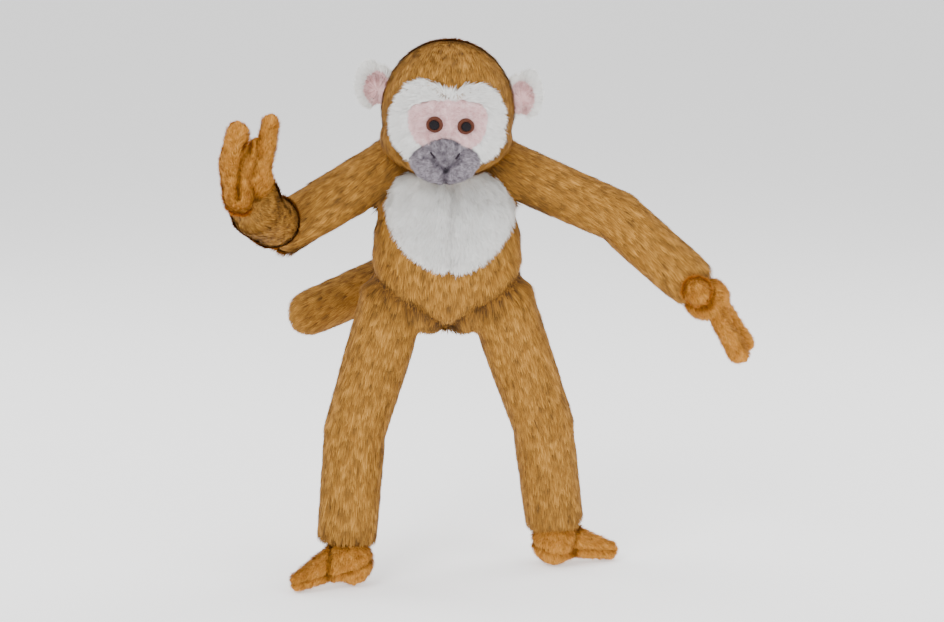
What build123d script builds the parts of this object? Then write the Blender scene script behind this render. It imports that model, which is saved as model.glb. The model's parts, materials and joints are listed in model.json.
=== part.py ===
from build123d import *
import math
import os

# Plush monkey, standing. Units are mm. +Z is up and the face looks along -Y.
# Side -1 is the monkey's own right (-X), side +1 is its own left (+X).
# Every sewn bag is a closed pile-fabric cover round a block of stuffing.

# Overall sizes
ankle_height = 33.0       # ankle joints above the floor
leg_drop = 193.0          # hip joints above the ankle joints
torso_height = 119.0      # top of the torso above the hip joints
torso_half_width = 61.0
torso_half_depth = 43.0
head_half_width = 52.0
head_half_height = 56.5
upper_arm_length = 91.0
forearm_length = 86.0

# Radii of the stuffed limbs
thigh_radius = 28.0
shin_radius = 25.0
arm_root_radius = 24.0
arm_radius = 22.3
tail_radius = 20.5
shoulder_ball_radius = 15.0
neck_ball_radius = 14.0

# Cloth and clearances
pile_wall = 5.0           # long pile laid on its backing cloth
short_wall = 3.0          # short pile on hands, feet and muzzle
play = 0.2                # between a cover and its stuffing
seam_gap = 0.15           # half of the gap between two panels of one bag
joint_gap = 0.7           # least space between two bodies at a joint

# Where the limbs go in the standing pose
hip_spread = 42.0
thigh_share = 0.54        # part of the leg drop above the knee
knee_out = {-1: 31.5, 1: 35.0}
knee_back = {-1: -14.0, 1: 17.0}
ankle_out = {-1: 38.5, 1: 46.0}
ankle_back = {-1: -30.0, 1: 32.0}
shoulder_spread = 51.0
shoulder_back = 14.0
shoulder_fraction = 0.85  # of the torso's height
upper_arm_aim = {-1: (-0.85, -0.204, -0.484), 1: (0.917, -0.068, -0.393)}
forearm_aim = {-1: (-0.24, -0.921, 0.307), 1: (0.75, -0.088, -0.655)}
hand_aim = {-1: (-0.05, -0.08, 1.0), 1: (0.61, -0.12, -0.79)}
thumb_side_aim = {-1: (1.0, 0.0, 0.0), 1: (0.0, -1.0, 0.0)}
toe_aim = {-1: (-0.826, -0.564, 0.0), 1: (0.985, 0.17, 0.0)}
torso_back = 5.0          # torso axis behind the hip joints
head_back = -8.0          # head axis behind the hip joints
neck_back = 6.0
head_above_neck = 45.0
head_aside = 1.0
head_roll = 3.5           # degrees, its left side lower

# Travel of the joints in degrees: least and most bend from straight
elbow_bend = (-3.0, 95.0)
knee_bend = (-8.0, 100.0)
wrist_bend = (-40.0, 72.0)
ankle_bend = (-20.0, 20.0)
tail_curl = (-10.0, 83.0)
hip_swing = (-22.0, 80.0)  # back and forward from hanging straight down
shoulder_raise = (-12.0, 30.0)
shoulder_swing = (-25.0, 15.0)
head_turn = 20.0
head_nod = (-10.0, 5.0)
ear_fold = (-15.0, 55.0)
tail_sway = (-20.0, 8.0)

SIDES = (-1, 1)
SIDE_NAME = {-1: "right", 1: "left"}
BIG = 400.0


def unit(values):
    return Vector(*values).normalized()


def across(direction, axis):
    """The part of a direction at right angles to an axis, as a unit vector."""
    return (direction - axis * direction.dot(axis)).normalized()


def moved(point, direction, distance):
    return point + direction * distance


# Joint centres
hip_height = ankle_height + leg_drop
hip = {s: Vector(s * hip_spread, 0, hip_height) for s in SIDES}
knee = {
    s: hip[s] + Vector(s * knee_out[s], knee_back[s], -leg_drop * thigh_share)
    for s in SIDES
}
ankle = {
    s: hip[s] + Vector(s * ankle_out[s], ankle_back[s], -leg_drop)
    for s in SIDES
}
shoulder_height = hip_height + torso_height * shoulder_fraction
shoulder = {
    s: Vector(s * shoulder_spread, shoulder_back, shoulder_height) for s in SIDES
}
upper_arm_dir = {s: unit(upper_arm_aim[s]) for s in SIDES}
forearm_dir = {s: unit(forearm_aim[s]) for s in SIDES}
elbow = {s: moved(shoulder[s], upper_arm_dir[s], upper_arm_length) for s in SIDES}
wrist = {s: moved(elbow[s], forearm_dir[s], forearm_length) for s in SIDES}
hand_dir = {s: unit(hand_aim[s]) for s in SIDES}
thumb_dir = {s: across(unit(thumb_side_aim[s]), hand_dir[s]) for s in SIDES}
palm_dir = {s: thumb_dir[s].cross(hand_dir[s]) * -s for s in SIDES}
toe_dir = {s: unit(toe_aim[s]) for s in SIDES}
thigh_dir = {s: (knee[s] - hip[s]).normalized() for s in SIDES}
shin_dir = {s: (ankle[s] - knee[s]).normalized() for s in SIDES}
neck = Vector(0, neck_back, hip_height + torso_height * 0.89)
head_centre = Vector(head_aside, head_back, neck.Z + head_above_neck)
tail_root = Vector(-10, torso_back + torso_half_depth - 4, hip_height + 22)
tail_bend = tail_root + Vector(-10, 34, -6)
tail_tip = tail_bend + Vector(-92, -14, -40)
tail_base_dir = (tail_bend - tail_root).normalized()
tail_tip_dir = (tail_tip - tail_bend).normalized()

# Hinge axes: a positive turn about each one bends the joint
elbow_axis = {
    -1: upper_arm_dir[-1].cross(forearm_dir[-1]).normalized(),
    1: forearm_dir[1].cross(Vector(0, -1, 0)).normalized(),
}
wrist_axis = {s: thumb_dir[s] * s for s in SIDES}
knee_axis = {s: Vector(1, 0, 0) for s in SIDES}
hip_axis = {s: Vector(-1, 0, 0) for s in SIDES}
ankle_axis = {s: toe_dir[s].cross(Vector(0, 0, 1)) for s in SIDES}
raise_axis = {s: Vector(0, -s, 0) for s in SIDES}
swing_axis = {s: Vector(0, 0, -s) for s in SIDES}
tail_axis = tail_base_dir.cross(tail_tip_dir).normalized()


def bend_at_rest(before, after, axis):
    """Degrees that the second direction is turned from the first about the axis."""
    flat_before = across(before, axis)
    flat_after = across(after, axis)
    turn = flat_before.cross(flat_after).dot(axis)
    return math.degrees(math.atan2(turn, flat_before.dot(flat_after)))


def limb(start, end, stations):
    """A round limb from start to end. Stations are distances along it and radii."""
    direction = (end - start).normalized()
    side = across(Vector(0.3, 1, 0.2), direction)
    plane = Plane(origin=start, x_dir=side, z_dir=side.cross(direction))
    places = [(radius, along) for along, radius in stations]
    first, last = places[0], places[-1]
    skin = Spline([Vector(*place) for place in places])
    outline = [
        Line((0, first[1]), first),
        skin,
        Line(last, (0, last[1])),
        Line((0, last[1]), (0, first[1])),
    ]
    face = make_face(Curve() + outline)
    return revolve(plane * face, axis=Axis(start, direction))


def ball(centre, radius):
    return Pos(centre) * Sphere(radius)


def hinge_side(joint, axis, away, plus, minus, space):
    """The wedge that one side of a hinge may fill, opening along `away`.

    Its face leans back by `plus` degrees on the side that a positive turn of
    `away` goes to, and by `minus` degrees on the other side.
    """
    forward = across(away, axis)
    plane = Plane(origin=joint, x_dir=axis.cross(forward), z_dir=axis)
    points = [
        (0, -space),
        (BIG, -space - BIG * math.tan(math.radians(plus))),
        (BIG, -3 * BIG),
        (-BIG, -3 * BIG),
        (-BIG, -space - BIG * math.tan(math.radians(minus))),
    ]
    face = make_face(Polyline(*points, close=True))
    return extrude(plane * face, BIG, both=True)


def hinge_wedges(joint, axis, before, after, bend, space):
    """Wedges for the piece before a hinge and the piece after it."""
    inner = max(bend[1], 0) / 2 + 1
    outer = max(-bend[0], 0) / 2 + 1
    lean = space / math.cos(math.radians(inner))
    first = hinge_side(joint, axis, before * -1, outer, inner, lean)
    second = hinge_side(joint, axis, after, inner, outer, lean)
    return first, second


def only(shape):
    """The largest solid of a shape."""
    solids = sorted(shape.solids(), key=lambda solid: solid.volume)
    return solids[-1]


def bag(shape, wall):
    """A closed cover and the stuffing in it, from a shape that takes an inset."""
    outside = shape(0)
    cover = only(outside - shape(wall))
    stuffing = only(shape(wall + play))
    return cover, stuffing


# Head

def ellipsoid(centre, half_width, half_depth, half_height):
    unit_ball = Sphere(10)
    stretched = scale(
        unit_ball, by=(half_width / 10, half_depth / 10, half_height / 10)
    )
    return Pos(centre) * stretched


def skull(grow):
    """The head without its hollow for the neck, grown outwards by some mm."""
    width = head_half_width + grow
    height = head_half_height + grow
    faces = []
    for angle in (-78, -68, -54, -38, -20, 0, 20, 38, 54, 68, 78):
        turn = math.radians(angle)
        level = head_centre + Vector(0, 0, height * math.sin(turn))
        faces.append(Plane(origin=level) * Circle(width * math.cos(turn)))
    return loft(faces)


def rolled(place, degrees):
    """A place after the head's roll about its centre."""
    turn = math.radians(degrees)
    x, z = place.X - head_centre.X, place.Z - head_centre.Z
    return head_centre + Vector(
        x * math.cos(turn) + z * math.sin(turn),
        place.Y - head_centre.Y,
        z * math.cos(turn) - x * math.sin(turn),
    )


def head_shape(inset):
    socket = rolled(neck, -head_roll)
    return skull(-inset) - ball(socket, neck_ball_radius + joint_gap + inset)


def front_prism(points, centre, reach, flat=False):
    """A prism along Y, in front of the centre, over half an outline and its mirror."""
    mirrored = [(-x, z) for x, z in reversed(points) if abs(x) > 0.01]
    plane = Plane(origin=centre, x_dir=(1, 0, 0), z_dir=(0, -1, 0))
    if flat:
        face = make_face(Polyline(*(points + mirrored), close=True))
    else:
        face = make_face(Spline(*(points + mirrored), periodic=True))
    return extrude(plane * face, reach)


def mask_prism(grow):
    w, h = head_half_width, head_half_height
    points = [
        (0, 0.35 * h + grow),
        (0.20 * w, 0.44 * h + grow),
        (0.42 * w, 0.50 * h + grow),
        (0.68 * w, 0.40 * h + grow),
        (0.85 * w + grow, 0.10 * h),
        (0.84 * w + grow, -0.20 * h),
        (0.74 * w + grow, -0.44 * h),
        (0.58 * w + grow, -0.60 * h - grow),
        (0.30 * w, -0.66 * h - grow),
        (0, -0.67 * h - grow),
    ]
    return front_prism(points, head_centre, 2 * w)


def brow_prism(grow):
    w, h = head_half_width, head_half_height
    points = [
        (0, 0.22 * h + grow),
        (0.32 * w, 0.23 * h + grow),
        (0.51 * w + grow, 0.10 * h),
        (0.52 * w + grow, -0.06 * h),
        (0.38 * w + grow, -0.22 * h - grow),
        (0.20 * w, -0.32 * h - grow),
        (0, -0.36 * h - grow),
    ]
    return front_prism(points, head_centre, 2 * w)


def muzzle_centre():
    return head_centre + Vector(0, -0.70 * head_half_width, -0.57 * head_half_height)


def muzzle_ball(grow):
    w = head_half_width
    return ellipsoid(
        muzzle_centre(), 0.54 * w + grow, 0.46 * w + grow, 0.40 * w + grow
    )


def muzzle_shape(inset):
    return muzzle_ball(-inset) - skull(play + inset)


def patch(prism, low, high, surface):
    """A thin layer between two growths of a surface, inside a prism."""
    layer = surface(high) & prism
    return only(layer - surface(low))


def build_head():
    nodes = {}
    shell = head_shape(0) - head_shape(pile_wall)
    nodes["head_cover"] = only(shell - mask_prism(seam_gap))
    mask = (shell & mask_prism(-seam_gap)) - brow_prism(seam_gap)
    nodes["face_mask"] = only(mask)
    nodes["brow_patch"] = only(shell & brow_prism(-seam_gap))
    nodes["head_stuffing"] = only(head_shape(pile_wall + play))
    nodes["muzzle_cover"], nodes["muzzle_stuffing"] = bag(muzzle_shape, short_wall)
    for side in SIDES:
        label = SIDE_NAME[side]
        eye = head_centre + Vector(
            side * 0.225 * head_half_width, 0, -0.105 * head_half_height
        )
        plane = Plane(origin=eye, x_dir=(1, 0, 0), z_dir=(0, -1, 0))
        ring = extrude(plane * (Circle(6.3) - Circle(3.7)), 2 * head_half_width)
        disc = extrude(plane * Circle(3.5), 2 * head_half_width)
        nodes["eye_ring_" + label] = patch(ring, 0.1, 1.1, skull)
        nodes["eye_pupil_" + label] = patch(disc, 0.1, 1.2, skull)
        nostril = muzzle_centre() + Vector(side * 9.5, 0, 3.5)
        slot = Plane(origin=nostril, x_dir=(side * 0.8, 0, 0.6), z_dir=(0, -1, 0))
        slit = extrude(slot * SlotOverall(7.5, 2.4), head_half_width)
        nodes["nostril_" + label] = patch(slit, 0.1, 0.9, muzzle_ball)
    turn = Rot(0, head_roll, 0)
    return {
        name: Pos(head_centre) * turn * Pos(head_centre * -1) * solid
        for name, solid in nodes.items()
    }


# Ears

ear_half_height = 20.0
ear_reach = 21.0
ear_back_thick = 5.0
ear_gap = 0.6
ear_lining_thick = 2.6


def ear_frame(side):
    """Hinge place, outward direction and hinge axis of an ear."""
    lift = 0.26 * head_half_height
    surface = head_half_width * math.sqrt(1 - (lift / head_half_height) ** 2)
    roll = math.radians(head_roll)
    out = Vector(side * math.cos(0.18), 0.0, math.sin(0.18))
    local = Vector(side * surface, -head_back * 0.6, lift)
    turned = Vector(
        local.X * math.cos(roll) + local.Z * math.sin(roll),
        local.Y,
        -local.X * math.sin(roll) + local.Z * math.cos(roll),
    )
    out_turned = Vector(
        out.X * math.cos(roll) + out.Z * math.sin(roll),
        0,
        -out.X * math.sin(roll) + out.Z * math.cos(roll),
    )
    place = head_centre + turned + out_turned * (ear_gap + ear_back_thick / 2)
    axis = out_turned.cross(Vector(0, -1, 0)).normalized()
    return place, out_turned, axis


def build_ears():
    nodes = {}
    for side in SIDES:
        label = SIDE_NAME[side]
        place, out, axis = ear_frame(side)
        half = ear_back_thick / 2
        plane = Plane(origin=place + Vector(0, -half, 0), x_dir=out, z_dir=(0, 1, 0))
        disc = Pos(ear_reach * 0.36, 0) * Ellipse(ear_reach * 0.64, ear_half_height)
        root_end = ear_reach * 0.36
        root = Pos((root_end - half) / 2, 0) * Rectangle(root_end + half, ear_half_height)
        keep = Pos(ear_reach * 0.5, 0) * Rectangle(ear_reach, 3 * ear_half_height)
        outline = (disc & keep) + root
        inner = Pos(ear_reach * 0.52, 0) * Ellipse(
            ear_reach * 0.36, ear_half_height * 0.70
        )
        back = extrude(plane * outline, ear_back_thick)
        upright = back.edges().filter_by(Axis(place, axis))
        inmost = upright.sort_by(lambda edge: (edge.center() - place).dot(out))[:2]
        back = fillet(inmost, 0.88 * half)
        low = Plane(
            origin=place + Vector(0, -half - 0.05, 0), x_dir=out, z_dir=(0, -1, 0)
        )
        lining = extrude(low * inner, ear_lining_thick)
        nodes["ear_back_" + label] = only(back)
        nodes["ear_lining_" + label] = only(lining)
    return nodes


# Neck, torso and bib

def neck_shape(inset):
    return ball(neck, neck_ball_radius - inset)


def bowl(grow):
    """The space over the shoulders that the head turns and nods in."""
    offset = abs(head_centre.Y - neck.Y) + grow
    drop = head_half_width * math.sin(math.radians(head_nod[1])) * 0.45 + grow
    base = head_centre.Z - head_half_height - drop
    points = [(0, base), (offset, base)]
    for step in range(1, 8):
        angle = math.radians(step * 12)
        radius = offset + head_half_width * math.sin(angle)
        height = head_centre.Z - drop - head_half_height * math.cos(angle)
        points.append((radius, height))
    points.append((0, points[-1][1]))
    plane = Plane(origin=(0, neck.Y, 0), x_dir=(1, 0, 0), z_dir=(0, -1, 0))
    face = make_face(Polyline(*points, close=True))
    return revolve(plane * face, axis=Axis((0, neck.Y, 0), (0, 0, 1)))


def hip_space(side, grow):
    """The space that a thigh swings through, as a slab across the hip."""
    radius = thigh_radius + joint_gap + grow
    reach = 3.0 * thigh_radius
    back = math.radians(hip_swing[0] - 2)
    front = math.radians(hip_swing[1] + 2)
    outline = []
    for step in range(9):
        angle = back + (front - back) * step / 8
        outline.append((-math.sin(angle) * reach, -math.cos(angle) * reach))
    back_edge = (math.cos(back) * radius, -math.sin(back) * radius)
    front_edge = (-math.cos(front) * radius, math.sin(front) * radius)
    first, last = outline[0], outline[-1]
    points = [back_edge]
    points.append((first[0] + back_edge[0], first[1] + back_edge[1]))
    points += outline[1:-1]
    points.append((last[0] + front_edge[0], last[1] + front_edge[1]))
    points.append(front_edge)
    points.append((0, 0))
    centre = hip[side]
    inner = hip_spread - thigh_radius - joint_gap - grow
    plane = Plane(origin=(side * inner, 0, centre.Z), x_dir=(0, 1, 0), z_dir=(1, 0, 0))
    fan = make_face(Polyline(*points, close=True)) + Circle(radius)
    return extrude(plane * fan, side * 3 * thigh_radius)


def armpit(side, grow):
    """The room that the root of the arm needs at the low end of its travel."""
    lowered = math.radians(shoulder_raise[0] - 2)
    direction = upper_arm_dir[side]
    x = direction.X * math.cos(lowered) - side * direction.Z * math.sin(lowered)
    z = direction.Z * math.cos(lowered) + side * direction.X * math.sin(lowered)
    place = moved(shoulder[side], Vector(x, direction.Y, z), 32)
    return ball(place, arm_root_radius + joint_gap + grow)


def arm_stations(inset):
    return [
        (10 + inset, 10.5 - inset * 0.8),
        (17 + inset, 16.5 - inset),
        (26, arm_root_radius - 1.5 - inset),
        (40, arm_root_radius - inset),
        (62, arm_radius + 0.5 - inset),
        (upper_arm_length + 30, arm_radius - inset),
    ]


def torso_loft(inset):
    levels = [
        (-0.21, 0.30, 0.36),
        (-0.15, 0.56, 0.62),
        (-0.02, 0.84, 0.88),
        (0.18, 1.00, 1.00),
        (0.40, 0.985, 0.98),
        (0.63, 0.93, 0.86),
        (0.82, 0.80, 0.72),
        (0.94, 0.60, 0.54),
        (1.00, 0.36, 0.34),
    ]
    faces = []
    for number, (level, wide, deep) in enumerate(levels):
        lift = inset if number == 0 else 0
        lift = -inset if number == len(levels) - 1 else lift
        height = hip_height + level * torso_height + lift
        face = Ellipse(torso_half_width * wide - inset, torso_half_depth * deep - inset)
        faces.append(Plane(origin=(0, torso_back, height)) * face)
    return loft(faces)


def torso_shape(inset):
    body = torso_loft(inset) - bowl(joint_gap + inset)
    body -= ball(neck, neck_ball_radius + joint_gap + inset)
    for side in SIDES:
        body -= hip_space(side, inset)
        body -= ball(shoulder[side], shoulder_ball_radius + joint_gap + inset)
        body -= armpit(side, inset)
    body -= ball(tail_root, tail_radius + 3.0 + joint_gap + inset)
    return body


def bib_prism(side, grow):
    """The outline of one half of the bib, from the centre seam outwards."""
    w, h = torso_half_width, torso_height
    base = hip_height
    points = [
        (side * seam_gap, base + 0.235 * h - grow),
        (side * 0.28 * w, base + 0.27 * h - grow),
        (side * 0.57 * w, base + 0.385 * h - grow),
        (side * 0.75 * w, base + 0.50 * h - grow),
        (side * (0.84 * w + grow), base + 0.63 * h),
        (side * (0.82 * w + grow), base + 0.80 * h),
        (side * (0.72 * w + grow), base + 1.10 * h),
        (side * seam_gap, base + 1.10 * h),
    ]
    plane = Plane(origin=(0, torso_back, 0), x_dir=(1, 0, 0), z_dir=(0, -1, 0))
    face = make_face(Polyline(*points, close=True))
    return extrude(plane * face, 2 * torso_half_depth)


def build_torso():
    nodes = {}
    nodes["neck_cover"], nodes["neck_stuffing"] = bag(neck_shape, short_wall)
    shell = torso_shape(0) - torso_shape(pile_wall)
    cover = shell
    for side in SIDES:
        cut = bib_prism(side, seam_gap)
        cover -= Pos(-side * 2 * seam_gap, 0, 0) * cut
        cover -= cut
        nodes["bib_" + SIDE_NAME[side]] = only(shell & bib_prism(side, -seam_gap))
    nodes["torso_cover"] = only(cover)
    nodes["torso_stuffing"] = only(torso_shape(pile_wall + play))
    return nodes


# Arms and hands

def shoulder_shape(side, inset):
    return ball(shoulder[side], shoulder_ball_radius - inset)


def upper_arm_shape(side, inset):
    body = limb(shoulder[side], elbow[side], arm_stations(inset))
    body -= ball(shoulder[side], shoulder_ball_radius + joint_gap + inset)
    wedges = hinge_wedges(
        elbow[side], elbow_axis[side], upper_arm_dir[side], forearm_dir[side],
        elbow_bend, joint_gap + inset,
    )
    return body & wedges[0]


def forearm_shape(side, inset):
    stations = [
        (-40, arm_radius - inset),
        (30, arm_radius - inset),
        (60, arm_radius + 0.4 - inset),
        (forearm_length + 30, arm_radius - 0.3 - inset),
    ]
    body = limb(elbow[side], wrist[side], stations)
    start = hinge_wedges(
        elbow[side], elbow_axis[side], upper_arm_dir[side], forearm_dir[side],
        elbow_bend, joint_gap + inset,
    )
    finish = hinge_wedges(
        wrist[side], wrist_axis[side], forearm_dir[side], hand_dir[side],
        wrist_bend, joint_gap + inset,
    )
    return body & start[1] & finish[0]


def rounded_finger(side, start, end, radius):
    """A round-ended finger between two (along, towards thumb) places of a hand."""
    ends = []
    for along, aside in (start, end):
        place = moved(wrist[side], hand_dir[side], along)
        ends.append(moved(place, thumb_dir[side], aside))
    length = (ends[1] - ends[0]).length
    plain = Cylinder(radius, length, align=(Align.CENTER, Align.CENTER, Align.MIN))
    plane = Plane(origin=ends[0], z_dir=ends[1] - ends[0])
    return plane * plain + ball(ends[0], radius) + ball(ends[1], radius)


thumb_places = {-1: ((28, 11), (61, 16)), 1: ((16, 6), (12, 20))}
thumb_radius = {-1: 7.6, 1: 9.5}


def hand_shape(side, inset):
    plane = Plane(
        origin=moved(wrist[side], hand_dir[side], 26),
        x_dir=thumb_dir[side],
        z_dir=hand_dir[side],
    )
    palm = scale(
        Sphere(10), by=((22 - inset) / 10, (13 - inset) / 10, (31 - inset) / 10)
    )
    body = plane * palm
    body += rounded_finger(side, (34, -8), (54.5, -9.5), 12 - inset)
    start, end = thumb_places[side]
    body += rounded_finger(side, start, end, thumb_radius[side] - inset)
    wedges = hinge_wedges(
        wrist[side], wrist_axis[side], forearm_dir[side], hand_dir[side],
        wrist_bend, joint_gap + inset,
    )
    return body & wedges[1]


def split_by(solid, origin, normal):
    """The two parts of a solid on either side of a seam plane."""
    plane = Plane(origin=origin, z_dir=normal)
    tall = Pos(0, 0, BIG / 2 + seam_gap) * Box(BIG, BIG, BIG)
    deep = Pos(0, 0, -BIG / 2 - seam_gap) * Box(BIG, BIG, BIG)
    return only(solid & plane * tall), only(solid & plane * deep)


def build_arm(side):
    label = "_" + SIDE_NAME[side]
    nodes = {}
    parts = {
        "shoulder": shoulder_shape,
        "upper_arm": upper_arm_shape,
        "forearm": forearm_shape,
    }
    for name, shape in parts.items():
        wall = short_wall if name == "shoulder" else pile_wall
        cover, stuffing = bag(lambda inset: shape(side, inset), wall)
        nodes[name + label + "_cover"] = cover
        nodes[name + label + "_stuffing"] = stuffing
    shell = hand_shape(side, 0) - hand_shape(side, short_wall)
    palm, back = split_by(shell, wrist[side], palm_dir[side])
    nodes["hand" + label + "_palm"] = palm
    nodes["hand" + label + "_back"] = back
    nodes["hand" + label + "_stuffing"] = only(hand_shape(side, short_wall + play))
    return nodes


# Legs and feet

def thigh_shape(side, inset):
    length = (knee[side] - hip[side]).length
    stations = [
        (0, thigh_radius - inset),
        (26, thigh_radius + 0.3 - inset),
        (52, thigh_radius - 1.0 - inset),
        (82, shin_radius + 0.3 - inset),
        (length + 30, shin_radius - inset),
    ]
    body = limb(hip[side], knee[side], stations)
    body += ball(hip[side], thigh_radius - inset)
    wedges = hinge_wedges(
        knee[side], knee_axis[side], thigh_dir[side], shin_dir[side],
        knee_bend, joint_gap + inset,
    )
    return body & wedges[0]


def shin_shape(side, inset):
    length = (ankle[side] - knee[side]).length
    stations = [
        (-40, shin_radius - inset),
        (35, shin_radius - inset),
        (70, shin_radius + 0.8 - inset),
        (length + 30, shin_radius + 0.8 - inset),
    ]
    body = limb(knee[side], ankle[side], stations)
    start = hinge_wedges(
        knee[side], knee_axis[side], thigh_dir[side], shin_dir[side],
        knee_bend, joint_gap + inset,
    )
    finish = hinge_wedges(
        ankle[side], ankle_axis[side], Vector(0, 0, -1), Vector(0, 0, -1),
        ankle_bend, joint_gap + inset,
    )
    return body & start[1] & finish[0]


sole_flat = 2.0           # how deep the floor flattens the soft foot
foot_sections = [
    (-23.5, 5.0, 6.0),
    (-20.0, 12.0, 12.5),
    (-12.0, 18.5, 18.5),
    (0.0, 20.5, 20.5),
    (12.0, 17.0, 15.5),
    (22.0, 12.0, 10.0),
    (34.0, 12.5, 9.0),
    (44.0, 9.5, 7.5),
    (49.0, 4.5, 4.5),
]
ball_forward = 6.0        # centre of the heel ball in front of the ankle joint


def foot_shape(side, inset):
    toe = toe_dir[side]
    wide = toe.cross(Vector(0, 0, 1))
    centre = ankle[side] + Vector(0, -ball_forward, 0)
    faces = []
    for number, (along, half_width, half_height) in enumerate(foot_sections):
        shift = inset if number == 0 else 0
        shift = -inset if number == len(foot_sections) - 1 else shift
        place = moved(centre, toe, along + shift)
        origin = Vector(place.X, place.Y, half_height - sole_flat)
        thick = max(half_height - inset, 1.0)
        face = Ellipse(max(half_width - inset, 1.0), thick)
        faces.append(Plane(origin=origin, x_dir=wide, z_dir=toe) * face)
    body = loft(faces)
    body &= Pos(centre.X, centre.Y, BIG / 2 + inset) * Box(BIG, BIG, BIG)
    wedges = hinge_wedges(
        ankle[side], ankle_axis[side], Vector(0, 0, -1), Vector(0, 0, -1),
        ankle_bend, joint_gap + inset,
    )
    return body & wedges[1]


def build_leg(side):
    label = "_" + SIDE_NAME[side]
    nodes = {}
    for name, shape in {"thigh": thigh_shape, "shin": shin_shape}.items():
        cover, stuffing = bag(lambda inset: shape(side, inset), pile_wall)
        nodes[name + label + "_cover"] = cover
        nodes[name + label + "_stuffing"] = stuffing
    shell = foot_shape(side, 0) - foot_shape(side, short_wall)
    seam = Vector(ankle[side].X, ankle[side].Y, ankle_height * 0.34)
    upper, lower = split_by(shell, seam, Vector(0, 0, 1))
    nodes["foot" + label + "_upper"] = upper
    nodes["foot" + label + "_sole"] = lower
    nodes["foot" + label + "_stuffing"] = only(foot_shape(side, short_wall + 3 * play))
    return nodes


# Tail

def tail_wedges(inset):
    return hinge_wedges(
        tail_bend, tail_axis, tail_base_dir, tail_tip_dir, tail_curl, joint_gap + inset
    )


def tail_base_shape(inset):
    radius = tail_radius - 1.5
    length = (tail_bend - tail_root).length
    stations = [
        (0, radius - inset),
        (length * 0.5, radius + 0.6 - inset),
        (length + 40, tail_radius - inset),
    ]
    body = limb(tail_root, tail_bend, stations) + ball(tail_root, radius - inset)
    return body & tail_wedges(inset)[0]


def tail_tip_shape(inset):
    length = (tail_tip - tail_bend).length
    stations = [
        (-40, tail_radius - inset),
        (length * 0.5, tail_radius + 0.3 - inset),
        (length, tail_radius - inset),
    ]
    body = limb(tail_bend, tail_tip, stations) + ball(tail_tip, tail_radius - inset)
    return body & tail_wedges(inset)[1]


def build_tail():
    nodes = {}
    for name, shape in {"tail_base": tail_base_shape, "tail_tip": tail_tip_shape}.items():
        cover, stuffing = bag(shape, pile_wall)
        nodes[name + "_cover"] = cover
        nodes[name + "_stuffing"] = stuffing
    return nodes


def build_all():
    nodes = {}
    nodes.update(build_head())
    nodes.update(build_ears())
    nodes.update(build_torso())
    for side in SIDES:
        nodes.update(build_arm(side))
        nodes.update(build_leg(side))
    nodes.update(build_tail())
    return nodes


def floor_centre(solids):
    """The point on the floor under the middle of the whole monkey."""
    boxes = [solid.bounding_box() for solid in solids]
    low_x = min(box.min.X for box in boxes)
    high_x = max(box.max.X for box in boxes)
    low_y = min(box.min.Y for box in boxes)
    high_y = max(box.max.Y for box in boxes)
    low_z = min(box.min.Z for box in boxes)
    return Vector((low_x + high_x) / 2, (low_y + high_y) / 2, low_z)


nodes = build_all()
origin = floor_centre(nodes.values())

os.makedirs("parts", exist_ok=True)
for name, solid in nodes.items():
    placed = Pos(origin * -1) * solid
    placed.label = name
    export_step(placed, "parts/" + name + ".step")
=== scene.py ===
import json
import math

import bpy
import numpy as np
from bpy.props import FloatProperty, FloatVectorProperty, PointerProperty
from mathutils import Matrix, Vector
from mathutils.bvhtree import BVHTree


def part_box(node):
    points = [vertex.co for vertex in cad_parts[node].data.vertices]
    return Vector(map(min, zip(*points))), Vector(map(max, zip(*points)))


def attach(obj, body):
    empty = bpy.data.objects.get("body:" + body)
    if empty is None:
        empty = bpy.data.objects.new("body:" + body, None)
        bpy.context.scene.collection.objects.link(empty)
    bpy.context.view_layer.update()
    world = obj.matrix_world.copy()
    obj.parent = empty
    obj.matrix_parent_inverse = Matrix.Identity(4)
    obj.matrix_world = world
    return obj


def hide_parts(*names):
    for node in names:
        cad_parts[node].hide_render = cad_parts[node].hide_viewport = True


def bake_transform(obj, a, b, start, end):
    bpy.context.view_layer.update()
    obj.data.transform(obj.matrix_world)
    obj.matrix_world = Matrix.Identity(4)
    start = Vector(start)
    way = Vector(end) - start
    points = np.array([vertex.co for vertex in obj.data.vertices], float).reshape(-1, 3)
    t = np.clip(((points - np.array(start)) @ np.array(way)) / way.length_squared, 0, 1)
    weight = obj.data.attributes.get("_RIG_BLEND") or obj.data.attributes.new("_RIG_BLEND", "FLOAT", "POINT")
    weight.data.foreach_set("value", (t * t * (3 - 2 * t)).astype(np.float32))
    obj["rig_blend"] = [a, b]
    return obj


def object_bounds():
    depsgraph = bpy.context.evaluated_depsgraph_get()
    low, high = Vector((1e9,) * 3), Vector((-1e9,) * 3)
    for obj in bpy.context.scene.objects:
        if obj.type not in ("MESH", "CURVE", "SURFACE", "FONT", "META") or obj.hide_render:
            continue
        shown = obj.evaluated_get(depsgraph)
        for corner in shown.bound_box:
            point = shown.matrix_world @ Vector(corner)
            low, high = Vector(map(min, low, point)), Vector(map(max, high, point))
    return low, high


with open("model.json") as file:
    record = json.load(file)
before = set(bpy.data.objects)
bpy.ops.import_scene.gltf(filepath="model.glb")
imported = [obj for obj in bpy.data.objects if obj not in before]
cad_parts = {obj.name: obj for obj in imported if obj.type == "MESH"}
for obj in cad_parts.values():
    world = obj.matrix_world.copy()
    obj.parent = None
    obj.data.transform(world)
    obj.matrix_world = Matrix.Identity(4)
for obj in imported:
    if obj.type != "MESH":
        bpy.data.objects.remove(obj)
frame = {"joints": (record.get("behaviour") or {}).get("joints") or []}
CAD_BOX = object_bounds()

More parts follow.
